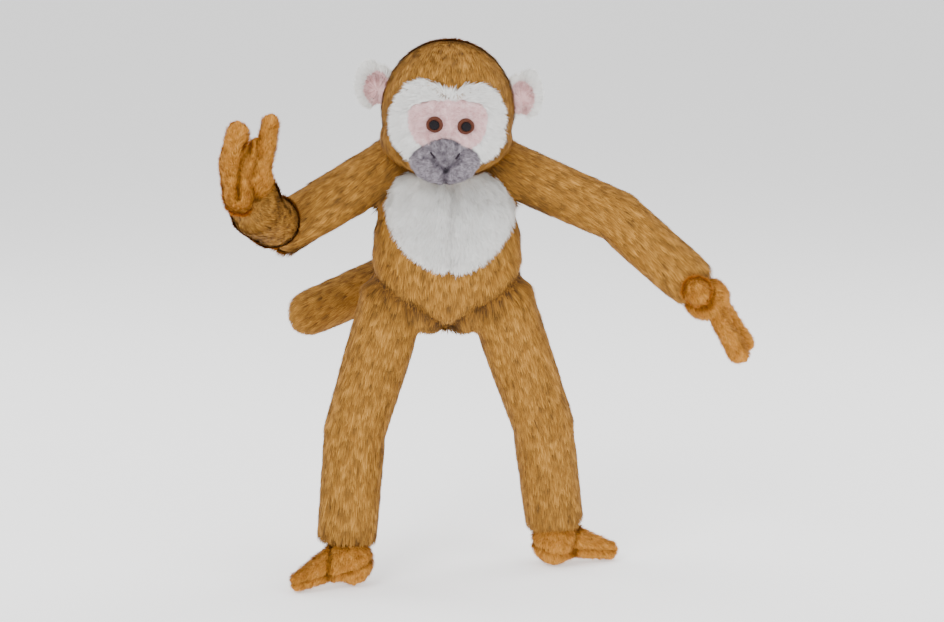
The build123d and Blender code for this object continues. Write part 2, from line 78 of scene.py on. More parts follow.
bl_info = {
    "name": "Plush Monkey",
    "version": (1, 0, 0),
    "blender": (4, 5, 0),
    "location": "3D View > Sidebar > Plush Monkey",
    "description": "Sews the pile, skin, face and stage round the plush monkey's CAD frame",
    "category": "Object",
}

SIDES = {"right": -1, "left": 1}
MM = 0.001
BODY_VOXEL, BIB_VOXEL, NECK_VOXEL, HEAD_VOXEL = 0.0026, 0.0020, 0.003, 0.0018
MUZZLE_VOXEL, EAR_VOXEL, PAW_VOXEL = 0.0011, 0.0013, 0.0013
BIB_SEAM = 3.5  # mm from the middle, in the front view
CUFF_CARRY = {"right": np.array([0, -0.001, 0.012]), "left": 0}  # cuff past the wrist
EYE_SHIFT = Vector((0.0026, 0, 0))  # from the eye's place in the frame
EAR_INSET, EAR_THIN = 0.003, 0.004
CAMERA_AIM, CAMERA_FAR, CAMERA_TILT, CAMERA_LENS = (20, 0, 215.4), 2.2, math.radians(10), 104.9
JOINTS = {joint["name"]: joint for joint in frame["joints"]}


def joint_at(name):
    return Vector(JOINTS[name]["pos_m"])


HIP = {side: joint_at("hip_swing_" + side) for side in SIDES}
KNEE = {side: joint_at("knee_bend_" + side) for side in SIDES}
ANKLE = {side: joint_at("ankle_bend_" + side) for side in SIDES}
SHOULDER = {side: joint_at("arm_raise_" + side) for side in SIDES}
ELBOW = {side: joint_at("elbow_bend_" + side) for side in SIDES}
WRIST = {side: joint_at("wrist_bend_" + side) for side in SIDES}
NECK = joint_at("head_turn")
TAIL_ROOT = joint_at("tail_sway")
TAIL_BEND = joint_at("tail_curl")
MIDDLE = (HIP["right"] + HIP["left"]) / 2


def at(x, y, z):
    """A place in mm from the point on the floor under the middle of the hips."""
    return Vector((MIDDLE.x + x * MM, MIDDLE.y + y * MM, z * MM))


def box_middle(node):
    low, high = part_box(node)
    return (low + high) / 2


HEAD_LOW, HEAD_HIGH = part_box("head_cover")
HEAD_HALF = (HEAD_HIGH.x - HEAD_LOW.x) / 2
HEAD_TALL = (HEAD_HIGH.z - HEAD_LOW.z) / 2
HEAD = Vector(
    ((HEAD_LOW.x + HEAD_HIGH.x) / 2, HEAD_HIGH.y - HEAD_HALF, (HEAD_LOW.z + HEAD_HIGH.z) / 2)
)


# ---------------------------------------------------------------- sizes and colours


def length(name, text, default, low=0.0001, high=0.2):
    return FloatProperty(
        name=name, description=text, default=default, min=low, max=high,
        subtype="DISTANCE", unit="LENGTH", precision=4,
    )


def tint(name, text, default):
    return FloatVectorProperty(
        name=name, description=text, default=default, min=0, max=1, size=3, subtype="COLOR"
    )


class PlushSizes(bpy.types.PropertyGroup):
    """Sizes of the pile, the skin under it and the stitched details."""

    long_pile: length("Brown pile", "Length of the brown pile", 0.0088)
    white_pile: length("White pile", "Length of the white pile", 0.0058)
    short_pile: length("Short pile", "Length of the pile on hands and feet", 0.0030)
    velour_pile: length("Velour pile", "Length of the pile on the face and muzzle", 0.0018)
    pile_rise: length("Pile rise", "How far laid brown pile stands off its cloth", 0.0018)
    short_rise: length("Short rise", "How far short pile stands off its cloth", 0.0015)
    arm_radius: length("Arm radius", "Radius of an arm at the top of its pile", 0.0223)
    leg_radius: length("Leg radius", "Radius of a shin at the top of its pile", 0.0256)
    tail_radius: length("Tail radius", "Radius of the tail at the top of its pile", 0.0207)
    seat_fullness: length("Seat fullness", "Roundness of the hips at the top of a leg", 0.029)
    eye_radius: length("Eye radius", "Radius of the stitched ring of an eye", 0.0064)
    pupil_radius: length("Pupil radius", "Radius of the stitched pupil", 0.0036)
    crease_depth: length("Crease depth", "Depth of a seam crease", 0.0025)
    head_roll: FloatProperty(
        name="Head roll", description="How far the head leans to its left",
        default=math.radians(3.5), subtype="ANGLE", unit="ROTATION",
    )


class PlushColours(bpy.types.PropertyGroup):
    """Colours of the cloths and threads."""

    brown_dark: tint("Brown, dark", "Shaded roots of the brown pile", (0.075, 0.033, 0.008))
    brown_mid: tint("Brown, middle", "Body of the brown pile", (0.27, 0.112, 0.014))
    brown_light: tint("Brown, light", "Frosted tips of the brown pile", (0.62, 0.31, 0.06))
    white: tint("White", "White pile", (0.86, 0.86, 0.84))
    white_dark: tint("White, shaded", "Roots of the white pile", (0.72, 0.70, 0.67))
    tan: tint("Tan", "Pile of the hands and feet", (0.60, 0.25, 0.032))
    tan_dark: tint("Tan, dark", "Roots of the tan pile", (0.30, 0.11, 0.012))
    tan_light: tint("Tan, light", "Tips of the tan pile", (0.80, 0.42, 0.09))
    pink: tint("Pink", "Pile of the brow and ears", (0.86, 0.58, 0.58))
    pink_dark: tint("Pink, dark", "Roots of the pink pile", (0.62, 0.33, 0.34))
    pink_light: tint("Pink, light", "Tips of the pink pile", (0.93, 0.73, 0.73))
    grey: tint("Grey", "Pile of the muzzle", (0.235, 0.205, 0.235))
    grey_dark: tint("Grey, dark", "Roots of the grey pile", (0.060, 0.048, 0.068))
    grey_light: tint("Grey, light", "Tips of the grey pile", (0.47, 0.43, 0.48))
    ring: tint("Eye ring", "Thread of the eye rings", (0.095, 0.027, 0.014))
    pupil: tint("Pupil", "Thread of the pupils", (0.006, 0.004, 0.006))
    mouth: tint("Mouth thread", "Thread of the nostrils and lips", (0.020, 0.012, 0.020))


def sizes():
    return bpy.context.scene.plush_sizes


def colours():
    return bpy.context.scene.plush_colours


# ---------------------------------------------------------------- shader groups


def new_group(name, kind, inputs, outputs):
    """A node group, with the sockets of its input and output nodes."""
    tree = bpy.data.node_groups.new(name, kind)
    for label, socket, value in inputs:
        item = tree.interface.new_socket(label, in_out="INPUT", socket_type=socket)
        if value is not None:
            item.default_value = value
    for label, socket in outputs:
        tree.interface.new_socket(label, in_out="OUTPUT", socket_type=socket)
    start = tree.nodes.new("NodeGroupInput").outputs
    return tree, start, tree.nodes.new("NodeGroupOutput").inputs


def add(tree, kind, links=(), **values):
    """A node with some properties set and some inputs set or linked by name or number."""
    node = tree.nodes.new(kind)
    for key, value in values.items():
        setattr(node, key, value)
    for key, value in links:
        socket = node.inputs[key]
        if isinstance(value, bpy.types.NodeSocket):
            tree.links.new(value, socket)
        else:
            socket.default_value = value
    return node


def maths(tree, operation, a, b=0.0, third=None, clamp=False):
    links = [(0, a), (1, b)] + ([] if third is None else [(2, third)])
    return add(tree, "ShaderNodeMath", links, operation=operation, use_clamp=clamp).outputs[0]


def mix_colour(tree, factor, a, b, blend="MIX"):
    node = add(
        tree, "ShaderNodeMix", [(0, factor), (6, a), (7, b)],
        data_type="RGBA", blend_type=blend,
    )
    return node.outputs[2]


def strand_group():
    """Colour of one strand of pile from its tone and how far along it a point is."""
    tree, start, end = new_group(
        "Strand Colour", "ShaderNodeTree",
        [
            ("Dark", "NodeSocketColor", (0, 0, 0, 1)),
            ("Middle", "NodeSocketColor", (0.5, 0.5, 0.5, 1)),
            ("Light", "NodeSocketColor", (1, 1, 1, 1)),
            ("Root Shade", "NodeSocketFloat", 0.35),
            ("Frost", "NodeSocketFloat", 0.5),
        ],
        [("Color", "NodeSocketColor"), ("Roughness", "NodeSocketFloat")],
    )
    place = add(tree, "ShaderNodeUVMap", uv_map="OFBake").outputs[0]
    parts = add(tree, "ShaderNodeSeparateXYZ", [(0, place)]).outputs
    tone, along = parts[0], parts[1]
    lower = maths(tree, "MULTIPLY", tone, 2.0, clamp=True)
    upper = maths(tree, "MULTIPLY_ADD", tone, 2.0, -1.0, clamp=True)
    body = mix_colour(tree, lower, start["Dark"], start["Middle"])
    body = mix_colour(tree, upper, body, start["Light"])
    rise = maths(tree, "SMOOTH_MIN", maths(tree, "MULTIPLY", along, 2.2), 1.0, 0.3)
    shade = add(
        tree, "ShaderNodeMapRange", [(0, rise), (1, 0.0), (2, 1.0), (3, start["Root Shade"])]
    ).outputs[0]
    grey = add(tree, "ShaderNodeCombineColor", [(0, shade), (1, shade), (2, shade)]).outputs[0]
    rooted = mix_colour(tree, 1.0, body, grey, "MULTIPLY")
    tip = maths(tree, "POWER", along, 3.0)
    frost = maths(tree, "MULTIPLY", tip, start["Frost"])
    toned = maths(tree, "MULTIPLY", frost, maths(tree, "ADD", tone, 0.35), clamp=True)
    tree.links.new(mix_colour(tree, toned, rooted, start["Light"]), end["Color"])
    rough = maths(tree, "MULTIPLY_ADD", along, -0.15, 0.78)
    tree.links.new(rough, end["Roughness"])
    return tree


def nap_group():
    """Mottled nap of a cloth: a colour factor and a height for the bump."""
    tree, start, end = new_group(
        "Nap", "ShaderNodeTree",
        [
            ("Fibre Scale", "NodeSocketFloat", 1500.0),
            ("Patch Scale", "NodeSocketFloat", 120.0),
        ],
        [("Mask", "NodeSocketFloat"), ("Height", "NodeSocketFloat")],
    )
    place = add(tree, "ShaderNodeTexCoord").outputs["Object"]
    fibre, patch = (
        add(
            tree, "ShaderNodeTexNoise",
            [("Vector", place), ("Scale", start[scale]), ("Detail", detail)],
        ).outputs[0]
        for scale, detail in (("Fibre Scale", 3.0), ("Patch Scale", 2.0))
    )
    shares = [maths(tree, "MULTIPLY", noise, 0.6) for noise in (fibre, patch)]
    both = maths(tree, "ADD", *shares)
    mask = add(tree, "ShaderNodeMapRange", [(0, both), (1, 0.35), (2, 0.85)]).outputs[0]
    tree.links.new(mask, end["Mask"])
    tree.links.new(fibre, end["Height"])
    return tree


def thread_group():
    """Fine parallel ribs of satin stitching along a piece's own UV."""
    tree, start, end = new_group(
        "Satin Thread", "ShaderNodeTree",
        [("Ribs", "NodeSocketFloat", 60.0)],
        [("Mask", "NodeSocketFloat"), ("Height", "NodeSocketFloat")],
    )
    place = add(tree, "ShaderNodeUVMap", uv_map="Stitch").outputs[0]
    parts = add(tree, "ShaderNodeSeparateXYZ", [(0, place)]).outputs
    turn = maths(tree, "MULTIPLY", maths(tree, "MULTIPLY", parts[0], start["Ribs"]), 2 * math.pi)
    wave = maths(tree, "MULTIPLY_ADD", maths(tree, "SINE", turn), 0.5, 0.5)
    tree.links.new(wave, end["Mask"])
    tree.links.new(wave, end["Height"])
    return tree


def group(name, maker):
    return bpy.data.node_groups.get(name) or maker()


def blank_material(name):
    material = bpy.data.materials.new(name)
    material.use_nodes = True
    tree = material.node_tree
    shader = tree.nodes["Principled BSDF"]
    shader.inputs["Specular IOR Level"].default_value = 0.25
    return material, tree, shader


def rgba(colour):
    return (*colour, 1.0)


def pile_material(name, dark, middle, light, root, frost):
    material, tree, shader = blank_material(name)
    node = add(
        tree, "ShaderNodeGroup",
        [("Dark", rgba(dark)), ("Middle", rgba(middle)), ("Light", rgba(light)),
         ("Root Shade", root), ("Frost", frost)],
        node_tree=group("Strand Colour", strand_group),
    )
    tree.links.new(node.outputs["Color"], shader.inputs["Base Color"])
    tree.links.new(node.outputs["Roughness"], shader.inputs["Roughness"])
    shader.inputs["Specular IOR Level"].default_value = 0.15
    return material


def surface(tree, shader, node, dark, light, rough, strength, distance):
    """Colour, roughness and relief of a cloth or thread, from its group's Mask and Height."""
    mask = node.outputs["Mask"]
    tree.links.new(mix_colour(tree, mask, rgba(dark), rgba(light)), shader.inputs["Base Color"])
    spread = add(tree, "ShaderNodeMapRange", [(0, mask), (3, rough[0]), (4, rough[1])])
    tree.links.new(spread.outputs[0], shader.inputs["Roughness"])
    relief = add(
        tree, "ShaderNodeBump",
        [("Height", node.outputs["Height"]), ("Strength", strength), ("Distance", distance)],
    )
    tree.links.new(relief.outputs[0], shader.inputs["Normal"])


def cloth_material(name, dark, light, patch):
    material, tree, shader = blank_material(name)
    node = add(
        tree, "ShaderNodeGroup", [("Fibre Scale", 1500.0), ("Patch Scale", patch)],
        node_tree=group("Nap", nap_group),
    )
    surface(tree, shader, node, dark, light, (0.95, 0.8), 0.4, 0.0006)
    return material


def thread_material(name, colour, ribs):
    material, tree, shader = blank_material(name)
    shader.inputs["Specular IOR Level"].default_value = 0.12
    node = add(
        tree, "ShaderNodeGroup", [("Ribs", ribs)], node_tree=group("Satin Thread", thread_group)
    )
    # painted shade and highlight: the thread's colour is darkened in the rib grooves and lightened on the
    # rib crests, along the same wave as the bump
    dark = [value * 0.45 for value in colour]
    light = [min(1.0, value * 1.5 + 0.01) for value in colour]
    surface(tree, shader, node, dark, light, (0.8, 0.5), 0.6, 0.0003)
    return material


def make_materials():
    """Every material by its short name. Pile has a root shade and a frost, cloth a patch scale."""
    c = colours()
    piles = {
        "brown": (c.brown_dark, c.brown_mid, c.brown_light, 0.62, 0.6),
        "white": (c.white_dark, c.white, c.white, 0.82, 0.5),
        "tan": (c.tan_dark, c.tan, c.tan_light, 0.5, 0.4),
        "pink": (c.pink_dark, c.pink, c.pink_light, 0.75, 0.4),
        "grey": (c.grey_dark, c.grey, c.grey_light, 0.6, 0.4),
    }
    cloths = {
        "brown": ([value * 0.8 for value in c.brown_mid], c.brown_mid, 120.0),
        "white": (c.white_dark, c.white, 120.0),
        "tan": (c.tan_dark, c.tan, 90.0),
        "pink": (c.pink_dark, c.pink, 200.0),
        "grey": (c.grey_dark, c.grey, 200.0),
    }
    threads = {
        "ring": ("Eye ring thread", c.ring, 46.0),
        "pupil": ("Pupil thread", c.pupil, 14.0),
        "mouth": ("Mouth thread", c.mouth, 10.0),
    }
    made = {}
    for key, values in piles.items():
        made[key + "_pile"] = pile_material(key.capitalize() + " pile", *values)
    for key, values in cloths.items():
        made[key + "_cloth"] = cloth_material(key.capitalize() + " cloth", *values)
    for key, values in threads.items():
        made[key] = thread_material(*values)
    return made


MATERIALS = {}


def material(name):
    if not MATERIALS:
        MATERIALS.update(make_materials())
    return MATERIALS[name]


# ---------------------------------------------------------------- shapes


def unit(vector):
    return np.asarray(vector, float) / max(np.linalg.norm(vector), 1e-12)


def unit_rows(vectors, least=1e-6):
    return vectors / np.maximum(np.linalg.norm(vectors, axis=1, keepdims=True), least)


def fading(points, place, reach, power):
    """One at a place and nought far from it."""
    return np.exp(-((np.linalg.norm(points - place, axis=1) / reach) ** power))


class Clay:
    """Closed lumps that are melted together into one skin."""

    def __init__(self):
        self.points = []
        self.faces = []

    def rings(self, rows, first, last):
        """Skins over rows of points, closed by a pole at each end."""
        base = len(self.points)
        count = len(rows[0])
        for row in rows:
            self.points.extend([tuple(point) for point in row])
        for step in range(len(rows) - 1):
            for k in range(count):
                a = base + step * count + k
                b = base + step * count + (k + 1) % count
                self.faces.append((a, b, b + count, a + count))
        low = len(self.points)
        self.points.append(tuple(first))
        self.points.append(tuple(last))
        end = base + (len(rows) - 1) * count
        for k in range(count):
            self.faces.append((low, base + (k + 1) % count, base + k))
            self.faces.append((low + 1, end + k, end + (k + 1) % count))

    def tube(self, places, radii, sides=32, caps=6, tip=1.0):
        """A round tube through places, with rounded ends. `tip` flattens the far end."""
        places = [np.asarray(place, float) for place in places]
        steps = [unit(b - a) for a, b in zip(places, places[1:])]
        ways = [steps[0], *(unit(a + b) for a, b in zip(steps, steps[1:])), steps[-1]]
        side = np.array([0.3, 1.0, 0.2])
        turns = np.linspace(0, 2 * math.pi, sides, endpoint=False)
        rows = []

        def row(place, way, radius, shrink):
            across = unit(side - way * np.dot(side, way))
            up = np.cross(way, across)
            rows.append([
                place
                + across * math.cos(t) * radius * shrink
                + up * math.sin(t) * radius * shrink
                for t in turns
            ])

        quarter = [math.pi / 2 * k / caps for k in range(1, caps)]
        near, far = places[0], places[-1]
        for turn in quarter:
            row(near - ways[0] * radii[0] * math.cos(turn), ways[0], radii[0], math.sin(turn))
        for place, way, radius in zip(places, ways, radii):
            row(place, way, radius, 1.0)
        tall = radii[-1] * tip
        for turn in quarter:
            row(far + ways[-1] * tall * math.sin(turn), ways[-1], radii[-1], math.cos(turn))
        self.rings(rows, near - ways[0] * radii[0], far + ways[-1] * tall)

    def egg(self, centre, halves, axes=None, sides=32, rows=18):
        """An ellipsoid with its half sizes along three axes."""
        axes = np.eye(3) if axes is None else np.array([unit(axis) for axis in axes])
        centre = np.asarray(centre, float)
        found = []
        for k in range(1, rows):
            lift = math.pi * k / rows
            turns = np.linspace(0, 2 * math.pi, sides, endpoint=False)
            found.append(
                [
                    centre
                    + axes[0] * halves[0] * math.sin(lift) * math.cos(t)
                    + axes[1] * halves[1] * math.sin(lift) * math.sin(t)
                    - axes[2] * halves[2] * math.cos(lift)
                    for t in turns
                ]
            )
        tip = axes[2] * halves[2]
        self.rings(found, centre - tip, centre + tip)

    def skin(self, voxel, smooth):
        """Melts the lumps, and returns the points and the faces of the skin."""
        mesh = bpy.data.meshes.new("clay")
        mesh.from_pydata(self.points, [], self.faces)
        lump = bpy.data.objects.new("clay", mesh)
        bpy.context.scene.collection.objects.link(lump)
        melt = lump.modifiers.new("melt", "REMESH")
        melt.mode = "VOXEL"
        melt.voxel_size = voxel
        even = lump.modifiers.new("even", "SMOOTH")
        even.factor = 0.5
        even.iterations = smooth
        graph = bpy.context.evaluated_depsgraph_get()
        done = bpy.data.meshes.new_from_object(lump.evaluated_get(graph))
        points = np.zeros(len(done.vertices) * 3, np.float32)
        done.vertices.foreach_get("co", points)
        faces = [tuple(face.vertices) for face in done.polygons]
        bpy.data.objects.remove(lump)
        bpy.data.meshes.remove(done)
        bpy.data.meshes.remove(mesh)
        if not faces:
            raise RuntimeError("the lumps melted away: the voxel size is too large")
        return Skin(points.reshape(-1, 3).astype(float), faces)


class Skin:
    """Points and faces of a closed skin, with the pile's direction on it."""

    def __init__(self, points, faces):
        self.points = points
        self.faces = faces
        self.comb = np.zeros_like(points)
        self.comb[:, 2] = -1
        self.cover = np.ones(len(points))
        self.shade = np.zeros(len(points))

    def normals(self):
        total = np.zeros_like(self.points)
        for size in (3, 4):
            chosen = np.array([f for f in self.faces if len(f) == size])
            if not len(chosen):
                continue
            a, b, c = (self.points[chosen[:, k]] for k in range(3))
            turned = np.cross(b - a, c - a)
            if size == 4:
                d = self.points[chosen[:, 3]]
                turned = np.cross(c - a, d - b)
            for k in range(size):
                np.add.at(total, chosen[:, k], turned)
        return unit_rows(total, 1e-12)

    def push(self, amount):
        """Moves each point along its normal."""
        self.points = self.points + self.normals() * np.asarray(amount)[:, None]

    def crease(self, path, depth, width, flat=None):
        """Presses a groove along a path of points, and paints shade along it. `flat` drops one axis from the
        distance.
        """
        nearest = distance_to_path(self.points, path, flat)
        self.push(-depth * np.exp(-((nearest / width) ** 2)))
        # painted shade: the pile is darkened along the groove
        self.shade += 0.6 * np.exp(-((nearest / (1.3 * width)) ** 2))

    def lay(self, directions):
        """Sets the pile's direction, laid flat on the skin."""
        normals = self.normals()
        directions = np.asarray(directions, float)
        inward = (directions * normals).sum(1)[:, None]
        self.comb = unit_rows(directions - normals * inward, 0.15)

    def normals_from(self, bones):
        """Directions straight out from the nearest of some bones."""
        best = np.full(len(self.points), 1e9)
        found = np.zeros_like(self.points)
        for a, b in bones:
            a, b = np.asarray(a, float), np.asarray(b, float)
            way = b - a
            share = np.clip((self.points - a) @ way / (way @ way), 0, 1)
            away = self.points - a - share[:, None] * way
            away -= np.outer(away @ unit(way), unit(way))
            gap = np.linalg.norm(self.points - a - share[:, None] * way, axis=1)
            nearer = gap < best
            best = np.where(nearer, gap, best)
            found = np.where(nearer[:, None], unit_rows(away), found)
        return found

    def piece(self, name, cloth, keep=None, sink=(0, 0, 0)):
        """Makes an object of some of the faces, closed where they were cut off."""
        faces = self.faces if keep is None else [f for f, k in zip(self.faces, keep) if k]
        used = sorted({k for face in faces for k in face})
        where = {old: new for new, old in enumerate(used)}
        faces = [tuple(where[k] for k in face) for face in faces]
        points = self.points[used]
        caps, extra = close_faces(points, faces)
        extra = extra + np.asarray(sink, float)
        points = np.vstack([points, extra]) if len(extra) else points
        mesh = bpy.data.meshes.new(name)
        mesh.from_pydata([tuple(p) for p in points], [], faces + caps)
        grow = [True] * len(faces) + [False] * len(caps)
        mesh.attributes.new("skin_face", "BOOLEAN", "FACE").data.foreach_set("value", grow)
        pad = len(points) - len(used)
        comb = np.vstack([self.comb[used], np.zeros((pad, 3))])
        mesh.attributes.new("comb", "FLOAT_VECTOR", "POINT").data.foreach_set(
            "vector", comb.astype(np.float32).ravel()
        )
        for label, values in (("cover", self.cover), ("shade", self.shade)):
            column = np.concatenate([values[used], np.zeros(pad)]).astype(np.float32)
            mesh.attributes.new(label, "FLOAT", "POINT").data.foreach_set("value", column)
        mesh.shade_smooth()
        mesh.materials.append(material(cloth))
        made = bpy.data.objects.new(name, mesh)
        bpy.context.scene.collection.objects.link(made)
        return made


def close_faces(points, faces):
    """Fans that close the open edges of some faces, and their middle points."""
    open_edges = {}
    for face in faces:
        for a, b in zip(face, face[1:] + face[:1]):
            if (b, a) in open_edges:
                del open_edges[(b, a)]
            else:
                open_edges[(a, b)] = True
    after = {}
    for a, b in open_edges:
        after.setdefault(b, []).append(a)
    caps, extra = [], []
    while after:
        start = next(iter(after))
        loop = [start]
        while True:
            choices = after.get(loop[-1])
            if not choices:
                break
            step = choices.pop()
            if not choices:
                del after[loop[-1]]
            if step == start:
                break
            loop.append(step)
        if len(loop) < 3:
            continue
        middle = len(points) + len(extra)
        extra.append(points[loop].mean(0))
        for a, b in zip(loop, loop[1:] + loop[:1]):
            caps.append((a, b, middle))
    return caps, np.array(extra).reshape(-1, 3)


def distance_to_path(points, path, flat=None):
    """Least distance from each point to a broken line, maybe seen along one axis."""
    keep = [k for k in range(3) if k != flat]
    points = points[:, keep]
    path = [np.asarray(place, float)[keep] for place in path]
    best = np.full(len(points), 1e9)
    for a, b in zip(path, path[1:]):
        way = b - a
        share = np.clip((points - a) @ way / max(way @ way, 1e-12), 0, 1)
        gap = np.linalg.norm(points - a - share[:, None] * way, axis=1)
        best = np.minimum(best, gap)
    return best


def along_bones(points, bones):
    """The direction of the nearest of some bones, blended smoothly between them."""
    total = np.zeros_like(points)
    for a, b in bones:
        gap = distance_to_path(points, [a, b])
        total += unit(np.asarray(b) - np.asarray(a)) * (1 / (gap + 0.002) ** 5)[:, None] * 1e-12
    return unit_rows(total, 1e-12)


# ---------------------------------------------------------------- pile


def pile_tree():
    """Geometry nodes that plant combed, tapered strands of pile on a skin."""
    tree, start, end = new_group(
        "Pile", "GeometryNodeTree",
        [
            ("Geometry", "NodeSocketGeometry", None),
            ("Density", "NodeSocketFloat", 900000.0),
            ("Length", "NodeSocketFloat", 0.01),
            ("Width", "NodeSocketFloat", 0.0013),
            ("Lift", "NodeSocketFloat", 0.5),
            ("Stray", "NodeSocketFloat", 0.3),
            ("Tuft Size", "NodeSocketFloat", 0.007),
            ("Tone Contrast", "NodeSocketFloat", 1.6),
            ("Rows", "NodeSocketInt", 4),
            ("Seed", "NodeSocketInt", 1),
            ("Material", "NodeSocketMaterial", None),
        ],
        [("Geometry", "NodeSocketGeometry")],
    )

    def times(a, b):
        return maths(tree, "MULTIPLY", a, b)

    def plus(a, b):
        return maths(tree, "ADD", a, b)

    def minus(a, b):
        return maths(tree, "SUBTRACT", a, b)

    def named(label, kind="FLOAT"):
        node = add(tree, "GeometryNodeInputNamedAttribute", data_type=kind)
        node.inputs["Name"].default_value = label
        return node.outputs["Attribute"]

    def vector(operation, a, b=None, scale=None):
        node = add(tree, "ShaderNodeVectorMath", [(0, a)], operation=operation)
        for key, value in ((1, b), ("Scale", scale)):
            if value is None:
                continue
            if isinstance(value, bpy.types.NodeSocket):
                tree.links.new(value, node.inputs[key])
            else:
                node.inputs[key].default_value = value
        return node.outputs[0]

    def store(geometry, label, value, kind="FLOAT", domain="POINT"):
        node = add(
            tree, "GeometryNodeStoreNamedAttribute", [("Geometry", geometry)],
            data_type=kind, domain=domain,
        )
        node.inputs["Name"].default_value = label
        tree.links.new(value, node.inputs["Value"])
        return node.outputs[0]

    def chance(low, high, shift, kind="FLOAT"):
        node = add(tree, "FunctionNodeRandomValue", data_type=kind)
        first = 0 if kind == "FLOAT_VECTOR" else 2
        node.inputs[first].default_value = low
        node.inputs[first + 1].default_value = high
        seed = plus(start["Seed"], float(shift))
        tree.links.new(seed, node.inputs["Seed"])
        return node.outputs[0 if kind == "FLOAT_VECTOR" else 1]

    planted = add(
        tree, "GeometryNodeDistributePointsOnFaces",
        [
            ("Mesh", start["Geometry"]),
            ("Selection", named("skin_face", "BOOLEAN")),
            ("Density", times(start["Density"], named("cover"))),
            ("Seed", start["Seed"]),
        ],
        distribute_method="RANDOM",
    )
    place = add(tree, "GeometryNodeInputPosition").outputs[0]
    tuft_scale = maths(tree, "DIVIDE", 1.0, start["Tuft Size"])
    tuft = add(
        tree, "ShaderNodeTexNoise", [("Vector", place), ("Scale", tuft_scale), ("Detail", 1.0)]
    )
    centred = vector("SUBTRACT", tuft.outputs["Color"], (0.5, 0.5, 0.5))
    tufted = vector("SCALE", centred, scale=times(start["Stray"], 4.0))
    loose = vector(
        "SCALE", chance((-1, -1, -1), (1, 1, 1), 3, "FLOAT_VECTOR"),
        scale=times(start["Stray"], 0.7),
    )
    way = vector("ADD", vector("ADD", named("comb", "FLOAT_VECTOR"), tufted), loose)
    aimed = add(
        tree, "FunctionNodeAlignRotationToVector", [("Vector", way)], axis="Z"
    ).outputs[0]
    faced = add(
        tree, "FunctionNodeAlignRotationToVector",
        [("Rotation", aimed), ("Vector", planted.outputs["Normal"])],
        axis="Y", pivot_axis="Z",
    ).outputs[0]
    fine = add(
        tree, "ShaderNodeTexNoise",
        [("Vector", place), ("Scale", times(tuft_scale, 1.7)), ("Detail", 2.0)],
    ).outputs[0]
    spread = times(minus(fine, 0.5), start["Tone Contrast"])
    spread = plus(spread, chance(-0.22, 0.22, 5))
    # painted shade: the skin's shade attribute darkens the strands' tone
    spread = minus(spread, times(named("shade"), 0.5))
    tone = maths(tree, "ADD", spread, 0.5, clamp=True)
    toned = store(planted.outputs["Points"], "tone", tone)
    blade = add(
        tree, "GeometryNodeMeshGrid",
        [("Size X", 1.0), ("Size Y", 1.0), ("Vertices X", 2), ("Vertices Y", start["Rows"])],
    ).outputs[0]
    spot = add(tree, "ShaderNodeSeparateXYZ", [(0, place)]).outputs
    along = plus(spot[1], 0.5)
    marked = store(store(blade, "strand_v", along), "strand_u", plus(spot[0], 0.5))
    taper = minus(1.0, times(maths(tree, "POWER", along, 1.8), 0.86))
    wide = times(times(spot[0], start["Width"]), taper)
    bow = times(maths(tree, "POWER", along, 0.9), start["Lift"])
    strand_v, strand_u = named("strand_v"), named("strand_u")
    out = times(bow, start["Length"])
    run = times(along, start["Length"])
    shaped_place = add(
        tree, "ShaderNodeCombineXYZ", [(0, times(wide, -1.0)), (1, out), (2, run)]
    ).outputs[0]
    shaped = add(
        tree, "GeometryNodeSetPosition", [("Geometry", marked), ("Position", shaped_place)]
    ).outputs[0]
    grown = chance(0.7, 1.2, 7)
    size = add(
        tree, "ShaderNodeCombineXYZ", [(0, chance(0.7, 1.25, 9)), (1, grown), (2, grown)]
    ).outputs[0]
    strands = add(
        tree, "GeometryNodeInstanceOnPoints",
        [("Points", toned), ("Instance", shaped), ("Rotation", faced), ("Scale", size)],
    ).outputs[0]
    real = add(tree, "GeometryNodeRealizeInstances", [("Geometry", strands)]).outputs[0]
    tone_back = named("tone")
    inset = times(minus(strand_u, 0.5), 0.02)
    across = plus(times(tone_back, 0.96), inset)
    across = plus(across, 0.02)
    upward = plus(times(strand_v, 0.96), 0.02)
    chart = add(tree, "ShaderNodeCombineXYZ", [(0, across), (1, upward)]).outputs[0]
    mapped = store(real, "OFBake", chart, "FLOAT2", "CORNER")
    smooth = add(tree, "GeometryNodeSetShadeSmooth", [("Geometry", mapped)]).outputs[0]
    painted = add(
        tree, "GeometryNodeSetMaterial", [("Geometry", smooth), ("Material", start["Material"])]
    ).outputs[0]
    tree.links.new(painted, end[0])
    return tree


def plant(skin_piece, name, pile, settings):
    """Grows pile on a piece, and returns it as a plain mesh object of its own."""
    tree = group("Pile", pile_tree)
    bed = skin_piece.copy()
    bed.data = skin_piece.data.copy()
    bpy.context.scene.collection.objects.link(bed)
    modifier = bed.modifiers.new("pile", "NODES")
    modifier.node_group = tree
    sockets = {
        item.name: item.identifier
        for item in tree.interface.items_tree
        if item.item_type == "SOCKET" and item.in_out == "INPUT"
    }
    values = dict(settings)
    values["Material"] = material(pile)
    for label, value in values.items():
        modifier[sockets[label]] = value
    graph = bpy.context.evaluated_depsgraph_get()
    mesh = bpy.data.meshes.new_from_object(bed.evaluated_get(graph))
    bpy.data.objects.remove(bed)
    if not mesh.polygons:
        raise RuntimeError(name + ": no pile grew")
    mesh.name = name
    keep = {"position", "OFBake", "sharp_face", "material_index"}
    for label in [a.name for a in mesh.attributes]:
        if label not in keep and not label.startswith("."):
            mesh.attributes.remove(mesh.attributes[label])
    made = bpy.data.objects.new(name, mesh)
    bpy.context.scene.collection.objects.link(made)
    return made


